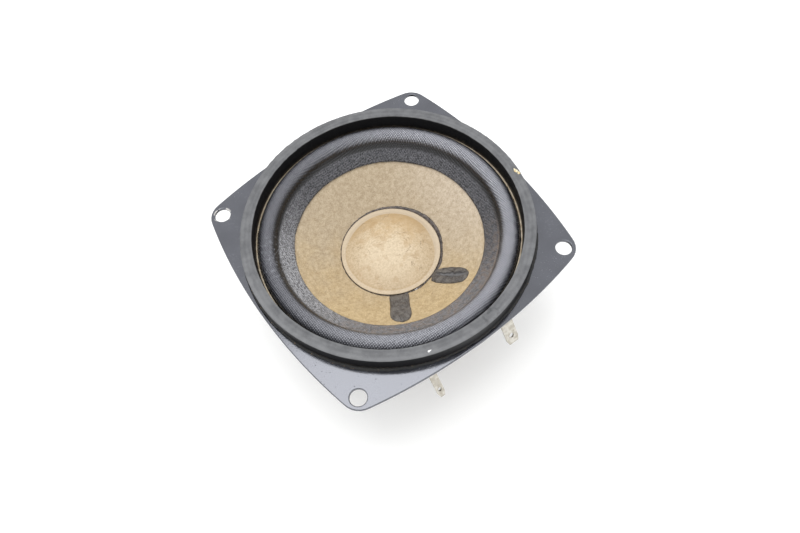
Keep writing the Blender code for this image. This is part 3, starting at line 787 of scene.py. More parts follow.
# ---- spider ----
# A disc of open cotton cloth, stiffened with resin and pressed hot into waves. Its collar is glued
# to the coil tube and its rim to the basket's ledge, so it flexes as the cone moves.

def flexing(piece, moving_radius, still_radius):
    """Share the cone's travel over a piece: all of it at one radius and none at the other."""
    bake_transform(piece, "frame", "moving_assembly", start=(0, 0, 0), end=(0, 0, 0.01))
    shares = piece.data.attributes["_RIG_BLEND"]
    for item, vertex in zip(shares.data, piece.data.vertices):
        radius = math.hypot(vertex.co.x, vertex.co.y) / MM
        share = (radius - still_radius) / (moving_radius - still_radius)
        share = min(1.0, max(0.0, share))
        item.value = share * share * (3 - 2 * share)


def crossing(finish, pitch):
    """Height of a plain weave: two sets of threads a pitch apart, that pass over and under."""
    along = finish.axis("X") * (math.pi / pitch)
    across = finish.axis("Y") * (math.pi / pitch)
    over = along.sine() * across.sine()
    return over * over


SPIDER_SHEET = 0.35
SPIDER_PITCH = 0.55                   # between threads
SPIDER_FLAT = 25.0                    # its rim is flat from here
spider_high = extent("spider")[1]
spider_mid = SHELF_TOP + 0.3 + SPIDER_SHEET
WAVE_START = 14.1
WAVE_PITCH = 3.12
WAVES = 3
spider_front = rounded([
    (former_high.x + 0.35, spider_mid + 1.6),
    (former_high.x + 0.45, spider_mid, 0.5),
    (WAVE_START, spider_mid),
])
wave_points = WAVES * 20
for step in range(wave_points + 1):
    share = step / wave_points
    height = 0.9 * math.sin(2 * math.pi * WAVES * share)
    spider_front.append((WAVE_START + WAVE_PITCH * WAVES * share, spider_mid + height))
spider_front += [(SPIDER_FLAT, spider_mid), (spider_high.x, spider_mid)]
spider_loop = spider_front + behind(spider_front, SPIDER_SHEET)[::-1]
spider = lathe("pressed_spider", spider_loop, 240)
cloth = Finish("resin_cloth", (0.45, 0.29, 0.12), roughness=0.75)
threads = crossing(cloth, SPIDER_PITCH)
tone = cloth.noise(5.0, 4)
# Painted shade: the gaps between the threads are painted darker, as the shade seen through the open weave.
painted_shade_between_threads = threads.step(0.18, 0.02)
colour = cloth.mix((0.5, 0.33, 0.14), (0.38, 0.23, 0.09), tone.step(0.35, 0.7))
cloth.vary("Base Color", cloth.mix(colour, (0.2, 0.12, 0.05), painted_shade_between_threads * 0.6))
cloth.relief(threads * 0.12 + cloth.noise(0.3) * 0.02)
flexing(spider, WAVE_START - 0.4, SPIDER_FLAT - 0.4)
dressed(spider, "spider", cloth, "spider")


# ---- cone ----
# Felted kraft pulp drawn onto a mould and dried in one piece, so that its fibres lie every way and
# its tone is uneven. The neck is glued to the coil tube and the rim goes under the surround.

NECK_RADIUS = 13.0
NECK_Z = 27.95
CAP_FOOT_RADIUS = 17.4
CAP_FOOT_Z = 30.55
CONE_EDGE_RADIUS = 32.1
CONE_EDGE_Z = 38.7
CONE_RIM_RADIUS = 36.3
RIM_SLOPE = 0.891
PAPER = 0.5


def cone_front(radius):
    """Height of the cone's front face at a radius inside the surround."""
    if radius < CAP_FOOT_RADIUS:
        share = (radius - NECK_RADIUS) / (CAP_FOOT_RADIUS - NECK_RADIUS)
        return NECK_Z + share * (CAP_FOOT_Z - NECK_Z)
    share = (radius - CAP_FOOT_RADIUS) / (CONE_EDGE_RADIUS - CAP_FOOT_RADIUS)
    return CAP_FOOT_Z + share * (CONE_EDGE_Z - CAP_FOOT_Z)


def felted(point, angle):
    """The slight unevenness of pulp that dried on a mould."""
    radius, height = point
    spot = Vector((radius * math.cos(angle), radius * math.sin(angle), height * 0.5))
    return radius, height + 0.05 * noise.noise(spot * 0.4) + 0.016 * noise.noise(spot * 2.1)


cone_radii = [NECK_RADIUS, 14.5, 16, CAP_FOOT_RADIUS]
cone_radii += [CAP_FOOT_RADIUS + (CONE_EDGE_RADIUS - CAP_FOOT_RADIUS) * i / 44 for i in range(1, 45)]
cone_line = [(radius, cone_front(radius)) for radius in cone_radii]
cone_line += [
    (radius, CONE_EDGE_Z + (radius - CONE_EDGE_RADIUS) * RIM_SLOPE)
    for radius in (33.2, 34.3, 35.4, CONE_RIM_RADIUS)
]
cone = lathe("paper_cone", cone_line + behind(cone_line, PAPER)[::-1], 360, felted)

pulp = Finish("kraft_pulp", (0.44, 0.36, 0.24), roughness=0.85)
clouds = pulp.noise(7.0, 5, 0.6)
flecks = pulp.noise(0.55, 4, 0.65)
strands = pulp.noise(0.28, 3, 0.6, stretch=(1, 2.6, 1))
strands_across = pulp.noise(0.3, 3, 0.6, stretch=(2.6, 1, 1))
fleck_mask = flecks.step(0.34, 0.68) * 0.6 + pulp.noise(1.6, 3).step(0.35, 0.65) * 0.4
pale = pulp.mix((0.345, 0.265, 0.17), (0.52, 0.43, 0.305), fleck_mask)
orange = pulp.mix((0.39, 0.275, 0.135), (0.59, 0.45, 0.255), fleck_mask)
grey = pulp.mix((0.43, 0.345, 0.25), (0.63, 0.54, 0.42), fleck_mask)
lower = (pulp.axis("X") * -0.35 - pulp.axis("Y") * 0.55 + clouds * 26).step(2, 34)
tone = pulp.mix(pale, orange, lower)
# Greyer and paler towards the right side.
greyer_right_side = (pulp.axis("X") * 0.8 - pulp.axis("Y") * 0.15 + clouds * 12).step(12, 34) * (1 - lower)
tone = pulp.mix(tone, grey, greyer_right_side)
dark_fibres = (strands.step(0.57, 0.69) + strands_across.step(0.58, 0.7)) * 0.42
tone = pulp.mix(tone, (0.2, 0.14, 0.08), dark_fibres)
light_fibres = (strands.step(0.42, 0.3) + strands_across.step(0.41, 0.29)) * 0.32
tone = pulp.mix(tone, (0.66, 0.57, 0.43), light_fibres)
tone = pulp.mix(tone, (0.24, 0.17, 0.1), clouds.step(0.62, 0.74) * 0.22)
pulp.vary("Base Color", tone)
pulp.relief(flecks * 0.06 + strands * 0.04 + strands_across * 0.04)
done(cone, "moving_assembly", "cone", pulp, "cone")


# ---- dust cap ----
# A shallow dome of thin pulp with a narrow flat rim, pressed from sheet. It closes the coil's bore,
# and glue has soaked into it unevenly.

cap_high = extent("dust_cap")[1]
CAP_RISE = 4.2
CAP_DOME_RADIUS = 16.0
CAP_SHEET = 0.4
cap_foot = cap_high.z - CAP_RISE
dome_radius = (CAP_DOME_RADIUS ** 2 + CAP_RISE ** 2) / (2 * CAP_RISE)
half_angle = math.asin(CAP_DOME_RADIUS / dome_radius)
cap_line = []
for step in range(37):
    angle = half_angle * step / 36
    drop = dome_radius * (1 - math.cos(angle))
    cap_line.append((dome_radius * math.sin(angle), cap_high.z - drop))
cap_line[-1] = (CAP_DOME_RADIUS - 0.12, cap_foot + 0.06)
for beyond, fall in ((0.2, 0.0), (0.7, 0.03), (1.1, 0.08), (1.3, 0.15)):
    cap_line.append((CAP_DOME_RADIUS + beyond, cap_foot - fall))


def pressed_cap(point, angle):
    """The cap's slight dents and its rim, which dips where the glue has pulled it."""
    radius, height = point
    spot = Vector((radius * math.cos(angle), radius * math.sin(angle), 3.0))
    return radius, height + 0.1 * noise.noise(spot * 0.16) + 0.012 * noise.noise(spot * 1.9)


cap_back = behind(cap_line, CAP_SHEET)[::-1]
cap_back[-1] = (0, cap_high.z - CAP_SHEET)
cap = lathe("pressed_dust_cap", cap_line + cap_back, 240, pressed_cap)

cap_pulp = Finish("cap_pulp", (0.52, 0.43, 0.3), roughness=0.8)
clouds = cap_pulp.noise(6.0, 5, 0.6)
flecks = cap_pulp.noise(0.6, 4, 0.6)
tone = cap_pulp.mix((0.48, 0.372, 0.235), (0.645, 0.522, 0.36), flecks.step(0.3, 0.66))
far_side = (cap_pulp.axis("X") + cap_pulp.axis("Y") + clouds * 10 - 5).step(-10, 14)
# A painted highlight: the dome is paler low in its middle.
painted_dome_highlight = cap_pulp.near(-4.0, -4.6, 9.5, 0.5)
tone = cap_pulp.mix(tone, (0.72, 0.615, 0.46), painted_dome_highlight * 0.3)
# Brown towards the far side: partly a real stain and partly painted shade where the dome turns away.
stain_and_far_shade = (cap_pulp.axis("Y") * 0.6 + cap_pulp.axis("X") * 0.42 + clouds * 22).step(11, 22)
tone = cap_pulp.mix(tone, (0.5, 0.33, 0.15), stain_and_far_shade * (0.45 + far_side * 0.35))
# Painted shade: the dome darkens towards its rim, most on the far side.
painted_shade_toward_rim = (cap_pulp.radius() + clouds * 9).step(11, 20)
tone = cap_pulp.mix(tone, (0.4, 0.28, 0.15), painted_shade_toward_rim * (0.2 + far_side * 0.3))
soak = cap_pulp.noise(3.1, 4).step(0.53, 0.66)
tone = cap_pulp.mix(tone, (0.4, 0.27, 0.14), soak * 0.36)
spots_in_pulp = cap_pulp.noise(0.8, 3).step(0.64, 0.72)
tone = cap_pulp.mix(tone, (0.27, 0.18, 0.1), spots_in_pulp * 0.4)
rim_start = 15.9 - far_side * 1.2
rim_band = cap_pulp.radius().step(rim_start - 0.25, rim_start + 0.2)
tone = cap_pulp.mix(tone, (0.6, 0.52, 0.41), rim_band * (0.35 + far_side * 0.3))
# Painted shade in the crease where the dome meets its rim.
crease = cap_pulp.radius().step(15.2, 15.8) * (1 - rim_band)
tone = cap_pulp.mix(tone, (0.42, 0.28, 0.13), crease * 0.3)
cap_pulp.vary("Base Color", tone)
cap_pulp.relief(flecks * 0.022 + cap_pulp.noise(0.25, 3) * 0.015)
done(cap, "moving_assembly", "dust_cap", cap_pulp, "dust_cap")


# ---- paper fibres ----
# Long fibres of bark and thread that stand proud of the pulp, on the cone and on the dust cap.
# They are strewn over the front faces at random and lie flat on them.

wanted = {"Density": "Float", "Length": "Float", "Thickness": "Float", "Seed": "Int"}
strewing = Recipe("strewn_fibres", wanted)
sockets = {
    "Mesh": strewing.given("Geometry"), "Density": strewing.given("Density"),
    "Seed": strewing.given("Seed"),
}
scatter = strewing.node("GeometryNodeDistributePointsOnFaces", None, sockets, "Points")
sockets = {"Start": (-0.5, 0, 0), "Middle": (0.1, 0.2, 0), "End": (0.5, -0.06, 0), "Resolution": 5}
bend = strewing.node("GeometryNodeCurveQuadraticBezier", None, sockets)
sockets = {"Resolution": 4, "Radius": strewing.given("Thickness")}
profile = strewing.node("GeometryNodeCurvePrimitiveCircle", None, sockets)
sockets = {"Curve": bend, "Profile Curve": profile, "Fill Caps": True}
strand = strewing.node("GeometryNodeCurveToMesh", None, sockets)
spin = strewing.node("FunctionNodeRandomValue", {"data_type": "FLOAT"}, {"Max": 2 * math.pi, "Seed": 3}, 1)
spin_turn = strewing.node("ShaderNodeCombineXYZ", None, {"Z": spin})
sockets = {"Rotation": scatter.also("Rotation"), "Rotate By": spin_turn}
laid = strewing.node("FunctionNodeRotateRotation", {"rotation_space": "LOCAL"}, sockets)
spread = strewing.node("FunctionNodeRandomValue", {"data_type": "FLOAT"}, {2: 0.4, 3: 1.0, "Seed": 5}, 1)
sockets = {
    "Points": scatter, "Instance": strand, "Rotation": laid,
    "Scale": spread * strewing.given("Length"),
}
strewing.end(strewing.node("GeometryNodeInstanceOnPoints", None, sockets))

bark = Finish("bark_fibre", (0.16, 0.1, 0.05), roughness=0.8)
hue = bark.noise(2.0, 1)
bark.vary("Base Color", bark.mix((0.2, 0.135, 0.08), (0.38, 0.28, 0.18), hue.step(0.35, 0.65)))


def front_skin(name, points, steps):
    """An open sheet along a front line, only to strew fibres on."""
    sheet = bmesh.new()
    rows = []
    for radius, height in points:
        row = []
        for step in range(steps):
            angle = 2 * math.pi * step / steps
            place = (radius * math.cos(angle) * MM, radius * math.sin(angle) * MM, height * MM)
            row.append(sheet.verts.new(place))
        rows.append(row)
    for row, outer in zip(rows, rows[1:]):
        for step in range(steps):
            sheet.faces.new((row[step], outer[step], outer[step - 1], row[step - 1]))
    sheet.normal_update()
    for face in sheet.faces:
        if face.normal.z < 0:
            face.normal_flip()
    mesh = bpy.data.meshes.new(name)
    sheet.to_mesh(mesh)
    sheet.free()
    return mesh


FIBRE = 0.03
PROUD = 0.03                          # the fibres' height over the pulp
strewn_line = [(radius, cone_front(radius) + PROUD) for radius in (19.5, 23, 27, 31.5)]
sizes = {"Density": 1.1e5, "Length": 1.1 * MM, "Thickness": FIBRE, "Seed": 11}
cone_fibres = strewing.make("cone_fibres", front_skin("cone_front", strewn_line, 64), bark, sizes)
done(cone_fibres, "moving_assembly", "cone", bark)
strewn_line = [(radius, height + PROUD) for radius, height in cap_line[2:36:5]]
sizes = {"Density": 1.5e5, "Length": 2.0 * MM, "Thickness": FIBRE * 0.7, "Seed": 4}
cap_fibres = strewing.make("cap_fibres", front_skin("cap_front", strewn_line, 64), bark, sizes)
done(cap_fibres, "moving_assembly", "dust_cap", bark)


# ---- surround ----
# A strip of fine black cloth coated with rubber and pressed into a half roll. Its inner band is
# glued over the cone's rim and its outer one into the flange's seat, and the roll flexes between.

CLOTH = 0.4
RUBBER_CLOTH_PITCH = 0.62             # between threads
ROLL_RADIUS = 40.3
ROLL_HALF_WIDTH = 3.15
ROLL_BASE = 43.7
ROLL_HEIGHT = 3.3
BAND_END = 36.6
surround_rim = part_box("surround")[1].x / MM
band_lift = (CLOTH + 0.12) * math.hypot(1, RIM_SLOPE)
band_start = CONE_EDGE_Z + band_lift
rim_top = SEAT_TOP + 0.3 + CLOTH
surround_line = [(CONE_EDGE_RADIUS, band_start - 0.1)]
for step in range(1, 13):
    radius = CONE_EDGE_RADIUS + (BAND_END - CONE_EDGE_RADIUS) * step / 12
    surround_line.append((radius, band_start + (radius - CONE_EDGE_RADIUS) * RIM_SLOPE))
for step in range(1, 36):
    angle = math.pi * step / 36
    surround_line.append((
        ROLL_RADIUS - ROLL_HALF_WIDTH * math.cos(angle), ROLL_BASE + ROLL_HEIGHT * math.sin(angle),
    ))
surround_line += rounded([
    (ROLL_RADIUS + ROLL_HALF_WIDTH, ROLL_BASE),
    (ROLL_RADIUS + ROLL_HALF_WIDTH + 0.1, rim_top, 0.3),
    (surround_rim, rim_top),
])[1:]


def pressed_cloth(point, angle):
    """The cut inner edge wanders a little, and the band has faint ripples from pressing."""
    radius, height = point
    spot = Vector((radius * math.cos(angle), radius * math.sin(angle), 7.0))
    edge = max(0.0, 1 - (radius - CONE_EDGE_RADIUS) / 0.8)
    wander = edge * (0.16 * noise.noise(spot * 0.12) + 0.07 * noise.noise(spot * 0.7))
    ripple = 0.05 * noise.noise(spot * 0.25) + 0.02 * noise.noise(spot * 1.2)
    return radius + wander, height + ripple + wander * RIM_SLOPE


surround_back = behind(surround_line, CLOTH)
for number, skived in enumerate((0.1, 0.25)):     # the inner edge is pressed thin
    surround_back[number] = behind(surround_line, skived)[number]
surround_loop = surround_line + surround_back[::-1]
surround = lathe("pressed_surround", surround_loop, 360, pressed_cloth)

rubber_cloth = Finish("coated_cloth", (0.05, 0.05, 0.055), roughness=0.36)
weave = crossing(rubber_cloth, RUBBER_CLOTH_PITCH)
lean = (rubber_cloth.axis("X") + rubber_cloth.axis("Y")) * 0.013
out = rubber_cloth.radius() + lean
mottle = rubber_cloth.noise(2.4, 5, 0.6)
fine = rubber_cloth.noise(0.5, 3, 0.65)
sparkle = rubber_cloth.cells(0.3).step(0.22, 0.06) * mottle.step(0.35, 0.6)
near_side = (rubber_cloth.axis("Y") * -1 - rubber_cloth.axis("X") * 0.1).step(8, 30)
band = out.step(37.0, 36.4)
# Painted shade: the groove at the roll's inner foot, except on the near side.
valley_painted_shade = out.step(36.0, 36.9) * out.step(38.3, 37.4) * (1 - near_side)
turned_away = (rubber_cloth.axis("X") * 0.6 - rubber_cloth.axis("Y") * 0.55).step(-30, 10)
crest = out.step(37.4 - near_side * 0.7, 38.9 - near_side * 0.5) * out.step(43.0, 40.8)
toward_near = (rubber_cloth.axis("Y") * -0.6 - rubber_cloth.axis("X") * 0.8).step(-14, 24)
threads = weave.step(0.2, 0.5)
# Thread tops are painted lighter and the gaps between them darker, as light and shade on the weave, mixed
# with random mottle.
thread_light_and_mottle = threads * 0.7 + mottle.step(0.35, 0.7) * 0.3
tone = rubber_cloth.mix((0.016, 0.016, 0.019), (0.05, 0.051, 0.058), thread_light_and_mottle)
# Painted sheen on the roll's crest: brighter on the sides turned away and brightest on the thread tops.
sheen = rubber_cloth.mix((0.05, 0.051, 0.062), (0.09, 0.092, 0.108), turned_away)
sheen_high = rubber_cloth.mix((0.29, 0.295, 0.327), (0.7, 0.71, 0.775), turned_away)
painted_crest_sheen = rubber_cloth.mix(sheen, sheen_high, threads * 0.7 + fine.step(0.38, 0.66) * 0.3)
tone = rubber_cloth.mix(tone, painted_crest_sheen, crest * 0.8)
# The band is painted darker on the far side and lighter towards the near left: partly dust, partly painted
# light and shade.
band_far_shade = rubber_cloth.mix((0.012, 0.012, 0.015), (0.12, 0.121, 0.133), fine.step(0.36, 0.64))
band_near_dust_and_light = rubber_cloth.mix((0.08, 0.08, 0.085), (0.4, 0.402, 0.42), fine.step(0.36, 0.64))
tone = rubber_cloth.mix(tone, rubber_cloth.mix(band_far_shade, band_near_dust_and_light, toward_near * (1 - near_side * 0.5)), band)
# The groove's painted shade, near black.
tone = rubber_cloth.mix(tone, (0.008, 0.008, 0.009), valley_painted_shade * 0.93)
ridge = out.step(36.2, 36.5) * out.step(37.0, 36.7) * near_side
brown = near_side * band * rubber_cloth.noise(1.3, 4).step(0.42, 0.62) + ridge * 0.8
tone = rubber_cloth.mix(tone, (0.27, 0.205, 0.16), brown * 0.45)
tone = rubber_cloth.mix(tone, (0.34, 0.34, 0.36), sparkle * (1 - valley_painted_shade) * 0.25)
# Paler bluish grey patches on the left of the band and roll.
pale_patches_left = rubber_cloth.near(-36, 14, 9, 0.6) * rubber_cloth.noise(0.9, 4).step(0.55, 0.68)
tone = rubber_cloth.mix(tone, (0.4, 0.42, 0.46), pale_patches_left * 0.35)
rubber_cloth.vary("Base Color", tone)
rubber_cloth.vary("Roughness", 0.2 + mottle * 0.14 + brown * 0.3 + band * 0.2)
rubber_cloth.relief(weave * 0.15 + mottle * 0.04 + fine * 0.05)
flexing(surround, CONE_RIM_RADIUS + 0.4, ROLL_RADIUS + ROLL_HALF_WIDTH)
dressed(surround, "surround", rubber_cloth, "surround")


# ---- glue on the cone ----
# Dark contact glue: a bead that holds the dust cap, laid by hand and so uneven, and two blobs over
# the ends of the coil's leads. The right one has a wet crease where the lead was pressed in; its
# colour there carries painted shade and a painted highlight.

def wrapped(angle):
    """The same direction, between half a turn back and half a turn on."""
    return (angle + math.pi) % (2 * math.pi) - math.pi


def swell(angle, centre, width):
    """A smooth hump round a direction, all in degrees but the angle."""
    off = math.degrees(wrapped(angle - math.radians(centre))) / width
    return math.exp(-off * off)


BEAD_INNER = 17.25


def bead_reach(point, angle):
    """The bead's section is a share of its width and height here, and both wander."""
    across, up = point
    spot = Vector((math.cos(angle) * 6, math.sin(angle) * 6, 1.0))
    width = 0.34 + 0.14 * noise.noise(spot * 2.3) + 0.1 * noise.noise(spot * 6)
    width += 1.05 * swell(angle, -4, 40) + 0.6 * swell(angle, 62, 50) + 0.6 * swell(angle, -56, 12)
    width += 0.4 * swell(angle, -92, 10) + 0.5 * swell(angle, -118, 12)
    height = 0.3 + 0.34 * swell(angle, 18, 50) + 0.2 * swell(angle, -80, 26) + 0.06 * noise.noise(spot * 4)
    radius = BEAD_INNER + across * max(0.22, width)
    return radius, cone_front(radius) - 0.12 + up * height


AT_WALL = 0.0001                      # a section's first column, clear of 0 for the lathe
bead_section = [
    (AT_WALL, 0.0), (AT_WALL, 0.75), (0.14, 1.0), (0.35, 1.15), (0.6, 1.1), (0.82, 0.9),
    (0.95, 0.6), (1.0, 0.3), (1.0, 0.0),
]
bead = lathe("dust_cap_bead", bead_section, 480, bead_reach)
dark_glue = Finish("dark_glue", (0.05, 0.04, 0.032), roughness=0.3)
skin_noise = dark_glue.noise(1.1, 4)
film = dark_glue.noise(0.5, 3)
tone = dark_glue.mix((0.03, 0.022, 0.018), (0.105, 0.082, 0.07), skin_noise.step(0.34, 0.66))
tone = dark_glue.mix(tone, (0.02, 0.014, 0.01), film.step(0.6, 0.7) * 0.7)
# Painted glints: pale spots on the bead between the two blobs.
painted_glints_on_bead = dark_glue.noise(0.6, 2).step(0.56, 0.66) * dark_glue.near(0.5, -17.9, 6, 0.4)
dark_glue.vary("Base Color", dark_glue.mix(tone, (0.55, 0.55, 0.58), painted_glints_on_bead * 0.7))
dark_glue.vary("Roughness", 0.12 + film * 0.3)
dark_glue.relief(skin_noise * 0.05 + film * 0.03)
done(bead, "moving_assembly", "bead_glue", dark_glue, "dust_cap_glue")


def blob(name, start, end, widths, blunt_ends, height, crease, body_noise):
    """A tongue of glue on the cone's face between two plan points, round at its far end.

    widths are its half-widths at the start, the middle and the end, and blunt_ends are nearer to 0
    for squarer ends; crease is its groove's depth, and body_noise picks its unevenness.
    """
    start = Vector(start)
    run = Vector(end) - start
    length = run.length
    along = run / length
    across = Vector((-along.y, along.x))
    steps = 96
    outline = []
    for step in range(steps):
        turn = 2 * math.pi * step / steps
        forward = 0.5 - 0.5 * math.cos(turn)
        first, middle, last = widths
        bulge = first * (1 - forward) ** 2 + 2 * middle * forward * (1 - forward) + last * forward ** 2
        blunt = blunt_ends[0] if forward < 0.5 else blunt_ends[1]
        side = math.copysign(abs(math.sin(turn)) ** blunt, math.sin(turn)) * bulge
        outline.append(start + along * forward * length + across * side)
    centre = start + run * 0.5
    skin = bmesh.new()
    rings = 18
    rows = []
    for ring in range(rings + 1):
        share = 1 - ring / rings
        row = []
        for point in outline:
            offset = (point - centre) * share
            spot = centre + offset
            wobble = noise.noise(Vector((spot.x * 0.5, spot.y * 0.5, body_noise)))
            place = centre + offset * (1 + 0.07 * wobble)
            crown = height * (1 - share ** 5) ** 0.5 * (0.9 + 0.2 * wobble)
            aside = (place - start).dot(across) / 0.55
            groove = crease * math.exp(-aside * aside) * (1 - share ** 4)
            grain = 0.03 * noise.noise(Vector((place.x * 3, place.y * 3, body_noise)))
            top = cone_front(place.length) - 0.08 + crown - groove + grain * (1 - share)
            row.append(skin.verts.new((place.x * MM, place.y * MM, top * MM)))
            if ring == rings:
                break
        rows.append(row)
    base = []
    for vertex in rows[0]:
        radius = math.hypot(vertex.co.x, vertex.co.y) / MM
        base.append(skin.verts.new((vertex.co.x, vertex.co.y, (cone_front(radius) - 0.25) * MM)))
    low = skin.verts.new((centre.x * MM, centre.y * MM, (cone_front(centre.length) - 0.25) * MM))
    return closed(name, skin, [[low], base, *rows])


BLOB_HEIGHT = 1.0
left_blob = blob(
    "lead_blob_left", (-7.9, -15.5), (-14.9, -27.0), (4.3, 1.8, 5.7), (0.2, 1.1),
    BLOB_HEIGHT, crease=0.0, body_noise=2.0,
)
right_blob = blob(
    "lead_blob_right", (5.3, -16.8), (12.6, -26.8), (3.3, 3.9, 3.2), (0.32, 0.5),
    BLOB_HEIGHT, crease=0.45, body_noise=5.0,
)
blob_glue = Finish("blob_glue", (0.09, 0.078, 0.066), roughness=0.42)
grain = blob_glue.noise(0.3, 3)
patches = blob_glue.noise(2.2, 4)
tone = blob_glue.mix((0.055, 0.046, 0.04), (0.12, 0.107, 0.094), patches.step(0.38, 0.62))
tone = blob_glue.mix(tone, (0.27, 0.258, 0.245), grain.step(0.53, 0.68) * 0.6)
off_line = blob_glue.axis("X") * 0.8 + blob_glue.axis("Y") * 0.6 + 5.75 + blob_glue.noise(2.6, 1) * 2.0 - 1.0
along_line = blob_glue.axis("X").step(5.6, 7.6) * blob_glue.axis("Y").step(-26.4, -24.0)
# Along the crease the glue is painted dark, partly as wet glue and partly as painted shade in the groove.
crease_wet_and_shaded = (off_line * off_line).step(1.3, 0.2) * along_line
lit_edge = off_line + 0.15
glint = (lit_edge * lit_edge).step(0.5, 0.0) * along_line
tone = blob_glue.mix(tone, (0.014, 0.011, 0.01), crease_wet_and_shaded * 0.9)
blob_glue.vary("Base Color", blob_glue.mix(tone, (0.36, 0.36, 0.37), glint * 0.3))
blob_glue.vary("Roughness", 0.45 - crease_wet_and_shaded * 0.35)
blob_glue.relief(grain * 0.03 + patches * 0.05)
done(left_blob, "moving_assembly", "blob_glue", blob_glue, "lead_glue_left")
done(right_blob, "moving_assembly", "blob_glue", blob_glue, "lead_glue_right")


# ---- card ring and gasket ----
# A ring of grey-brown card is glued over the surround's rim, and a ring of closed cell foam on it
# seals the driver to its box. Both are punched from sheet, so their edges are a little ragged.

card_low, card_high = extent("card_ring")
CARD_INNER = 43.75


def nicked(point, angle):
    """The card's inner edge is torn in places."""
    radius, height = point
    if radius > CARD_INNER + 1:
        return point
    spot = Vector((math.cos(angle) * 14, math.sin(angle) * 14, 0.0))
    tear = max(0.0, noise.noise(spot) + 0.25 * noise.noise(spot * 4) - 0.12)
    wander = 0.06 * noise.noise(spot * 0.5)
    return radius + 0.4 * tear + wander, height


card = settled(lathe("card_ring_punched", rounded([
    (card_high.x, card_high.z, 0.1),
    (card_high.x, card_low.z, 0.1),
    (CARD_INNER, card_low.z, 0.08),
    (CARD_INNER, card_high.z, 0.08),
], 2), 480, nicked))
card_stock = Finish("card_stock", (0.42, 0.33, 0.22), roughness=0.85)
layers_seen = card_stock.noise(0.25, 3, stretch=(1, 1, 5))
tone = card_stock.mix((0.5, 0.4, 0.27), (0.76, 0.66, 0.5), card_stock.noise(1.6, 4).step(0.35, 0.65))
tone = card_stock.mix(tone, (0.2, 0.14, 0.09), layers_seen.step(0.6, 0.75) * 0.6)
# Painted shade: the card is painted near black from just inside the foam's inner wall outward.
painted_shade_at_foam_wall = card_stock.radius().step(44.05, 44.3)
card_stock.vary("Base Color", card_stock.mix(tone, (0.02, 0.016, 0.013), painted_shade_at_foam_wall * 0.95))
card_stock.relief(layers_seen * 0.03)
done(card, "frame", "card_ring", card_stock, "card_ring")

gasket_low, gasket_high = extent("gasket")
GASKET_INNER = 44.3
foot_rows = [(gasket_high.x, gasket_low.z + 0.6 * i) for i in range(8, 0, -1)]
inner_rows = [(GASKET_INNER, gasket_low.z + 0.6 * i) for i in range(1, 9)]
top_rows = [(GASKET_INNER + 0.55 + 0.4 * i, gasket_high.z) for i in range(8)]


def foamy(point, angle):
    """Punched foam: a wavy outer edge, more so in two places, and a top that is not quite flat."""
    radius, height = point
    spot = Vector((radius * math.cos(angle), radius * math.sin(angle), height))
    rough = 0.04 + 0.16 * swell(angle, 101, 22) + 0.09 * swell(angle, 5, 30)
    wave = 0.05 * noise.noise(spot * 0.11) + rough * noise.noise(spot * 0.9)
    lift = 0.06 * noise.noise(spot * 0.17) + 0.02 * noise.noise(spot * 1.4)
    share = (height - gasket_low.z) / (gasket_high.z - gasket_low.z)
    squeeze = 0.1 * math.sin(math.pi * share)
    outward = 1 if radius > 46 else -1
    return radius + wave - outward * (squeeze + 0.03), height + (lift - 0.05) * share


gasket = settled(lathe("foam_gasket", rounded([
    *top_rows,
    (gasket_high.x, gasket_high.z, 0.28),
    *foot_rows,
    (gasket_high.x, gasket_low.z, 0.12),
    (GASKET_INNER, gasket_low.z, 0.12),
    *inner_rows,
    (GASKET_INNER, gasket_high.z, 0.28),
], 4), 480, foamy))
foam = Finish("closed_cell_foam", (0.1, 0.1, 0.103), roughness=0.75)
foam.shader.inputs["Specular IOR Level"].default_value = 0.2
out = foam.radius()
wander = foam.noise(14.0, 2)
grain = foam.noise(0.2, 3)
broad = foam.noise(3.2, 5)
bands = ((out + wander * 1.6) * 4.2).sine() * 0.5 + 0.5
top = foam.axis("Z").step(gasket_high.z - 0.55, gasket_high.z - 0.12)
tone = foam.mix((0.11, 0.112, 0.117), (0.2, 0.203, 0.208), bands * 0.22 + broad.step(0.3, 0.7) * 0.55)
# Paler towards the outer edge of the top on the near side.
paler_outer_near = out.step(45.8, 47.4) * (foam.axis("X") * -0.7 - foam.axis("Y") * 0.7 + broad * 20).step(20, 42)
tone = foam.mix(tone, (0.27, 0.273, 0.28), paler_outer_near * 0.25)
tone = foam.mix(tone, (0.26, 0.26, 0.265), grain.step(0.58, 0.72) * 0.4)
tone = foam.mix(tone, (0.03, 0.03, 0.03), grain.step(0.4, 0.3) * 0.4)
smudges = foam.noise(1.7, 5, 0.65).step(0.48, 0.66) * foam.near(5, -46.2, 4, 0.7)
tone = foam.mix(tone, (0.05, 0.05, 0.052), smudges * 0.5)
# The foam's sides are near black, partly from darker cut cells and partly as painted shade; only the top
# keeps its grey.
tone = foam.mix((0.008, 0.008, 0.009), tone, top)
foot = foam.axis("Z").step(gasket_low.z + 0.7, gasket_low.z + 0.1)
dirt = foot * foam.noise(0.45, 2).step(0.48, 0.66)
tone = foam.mix(tone, (0.2, 0.15, 0.1), dirt * 0.55)
foam.vary("Base Color", tone)
foam.vary("Roughness", 0.52 + top * 0.2)
foam.relief(grain * 0.045 + broad * 0.03 - smudges * 0.03)
done(gasket, "frame", "gasket", foam, "gasket")


# ---- stray glue ----
# The black glue under the gasket has come out all round its foot and set with dust and foam in it.
# Crumbs of the yellowish glue that held the driver in its box are left on the foam as well.

FOOT_GLUE_START = 48.0                # under the foam's edge


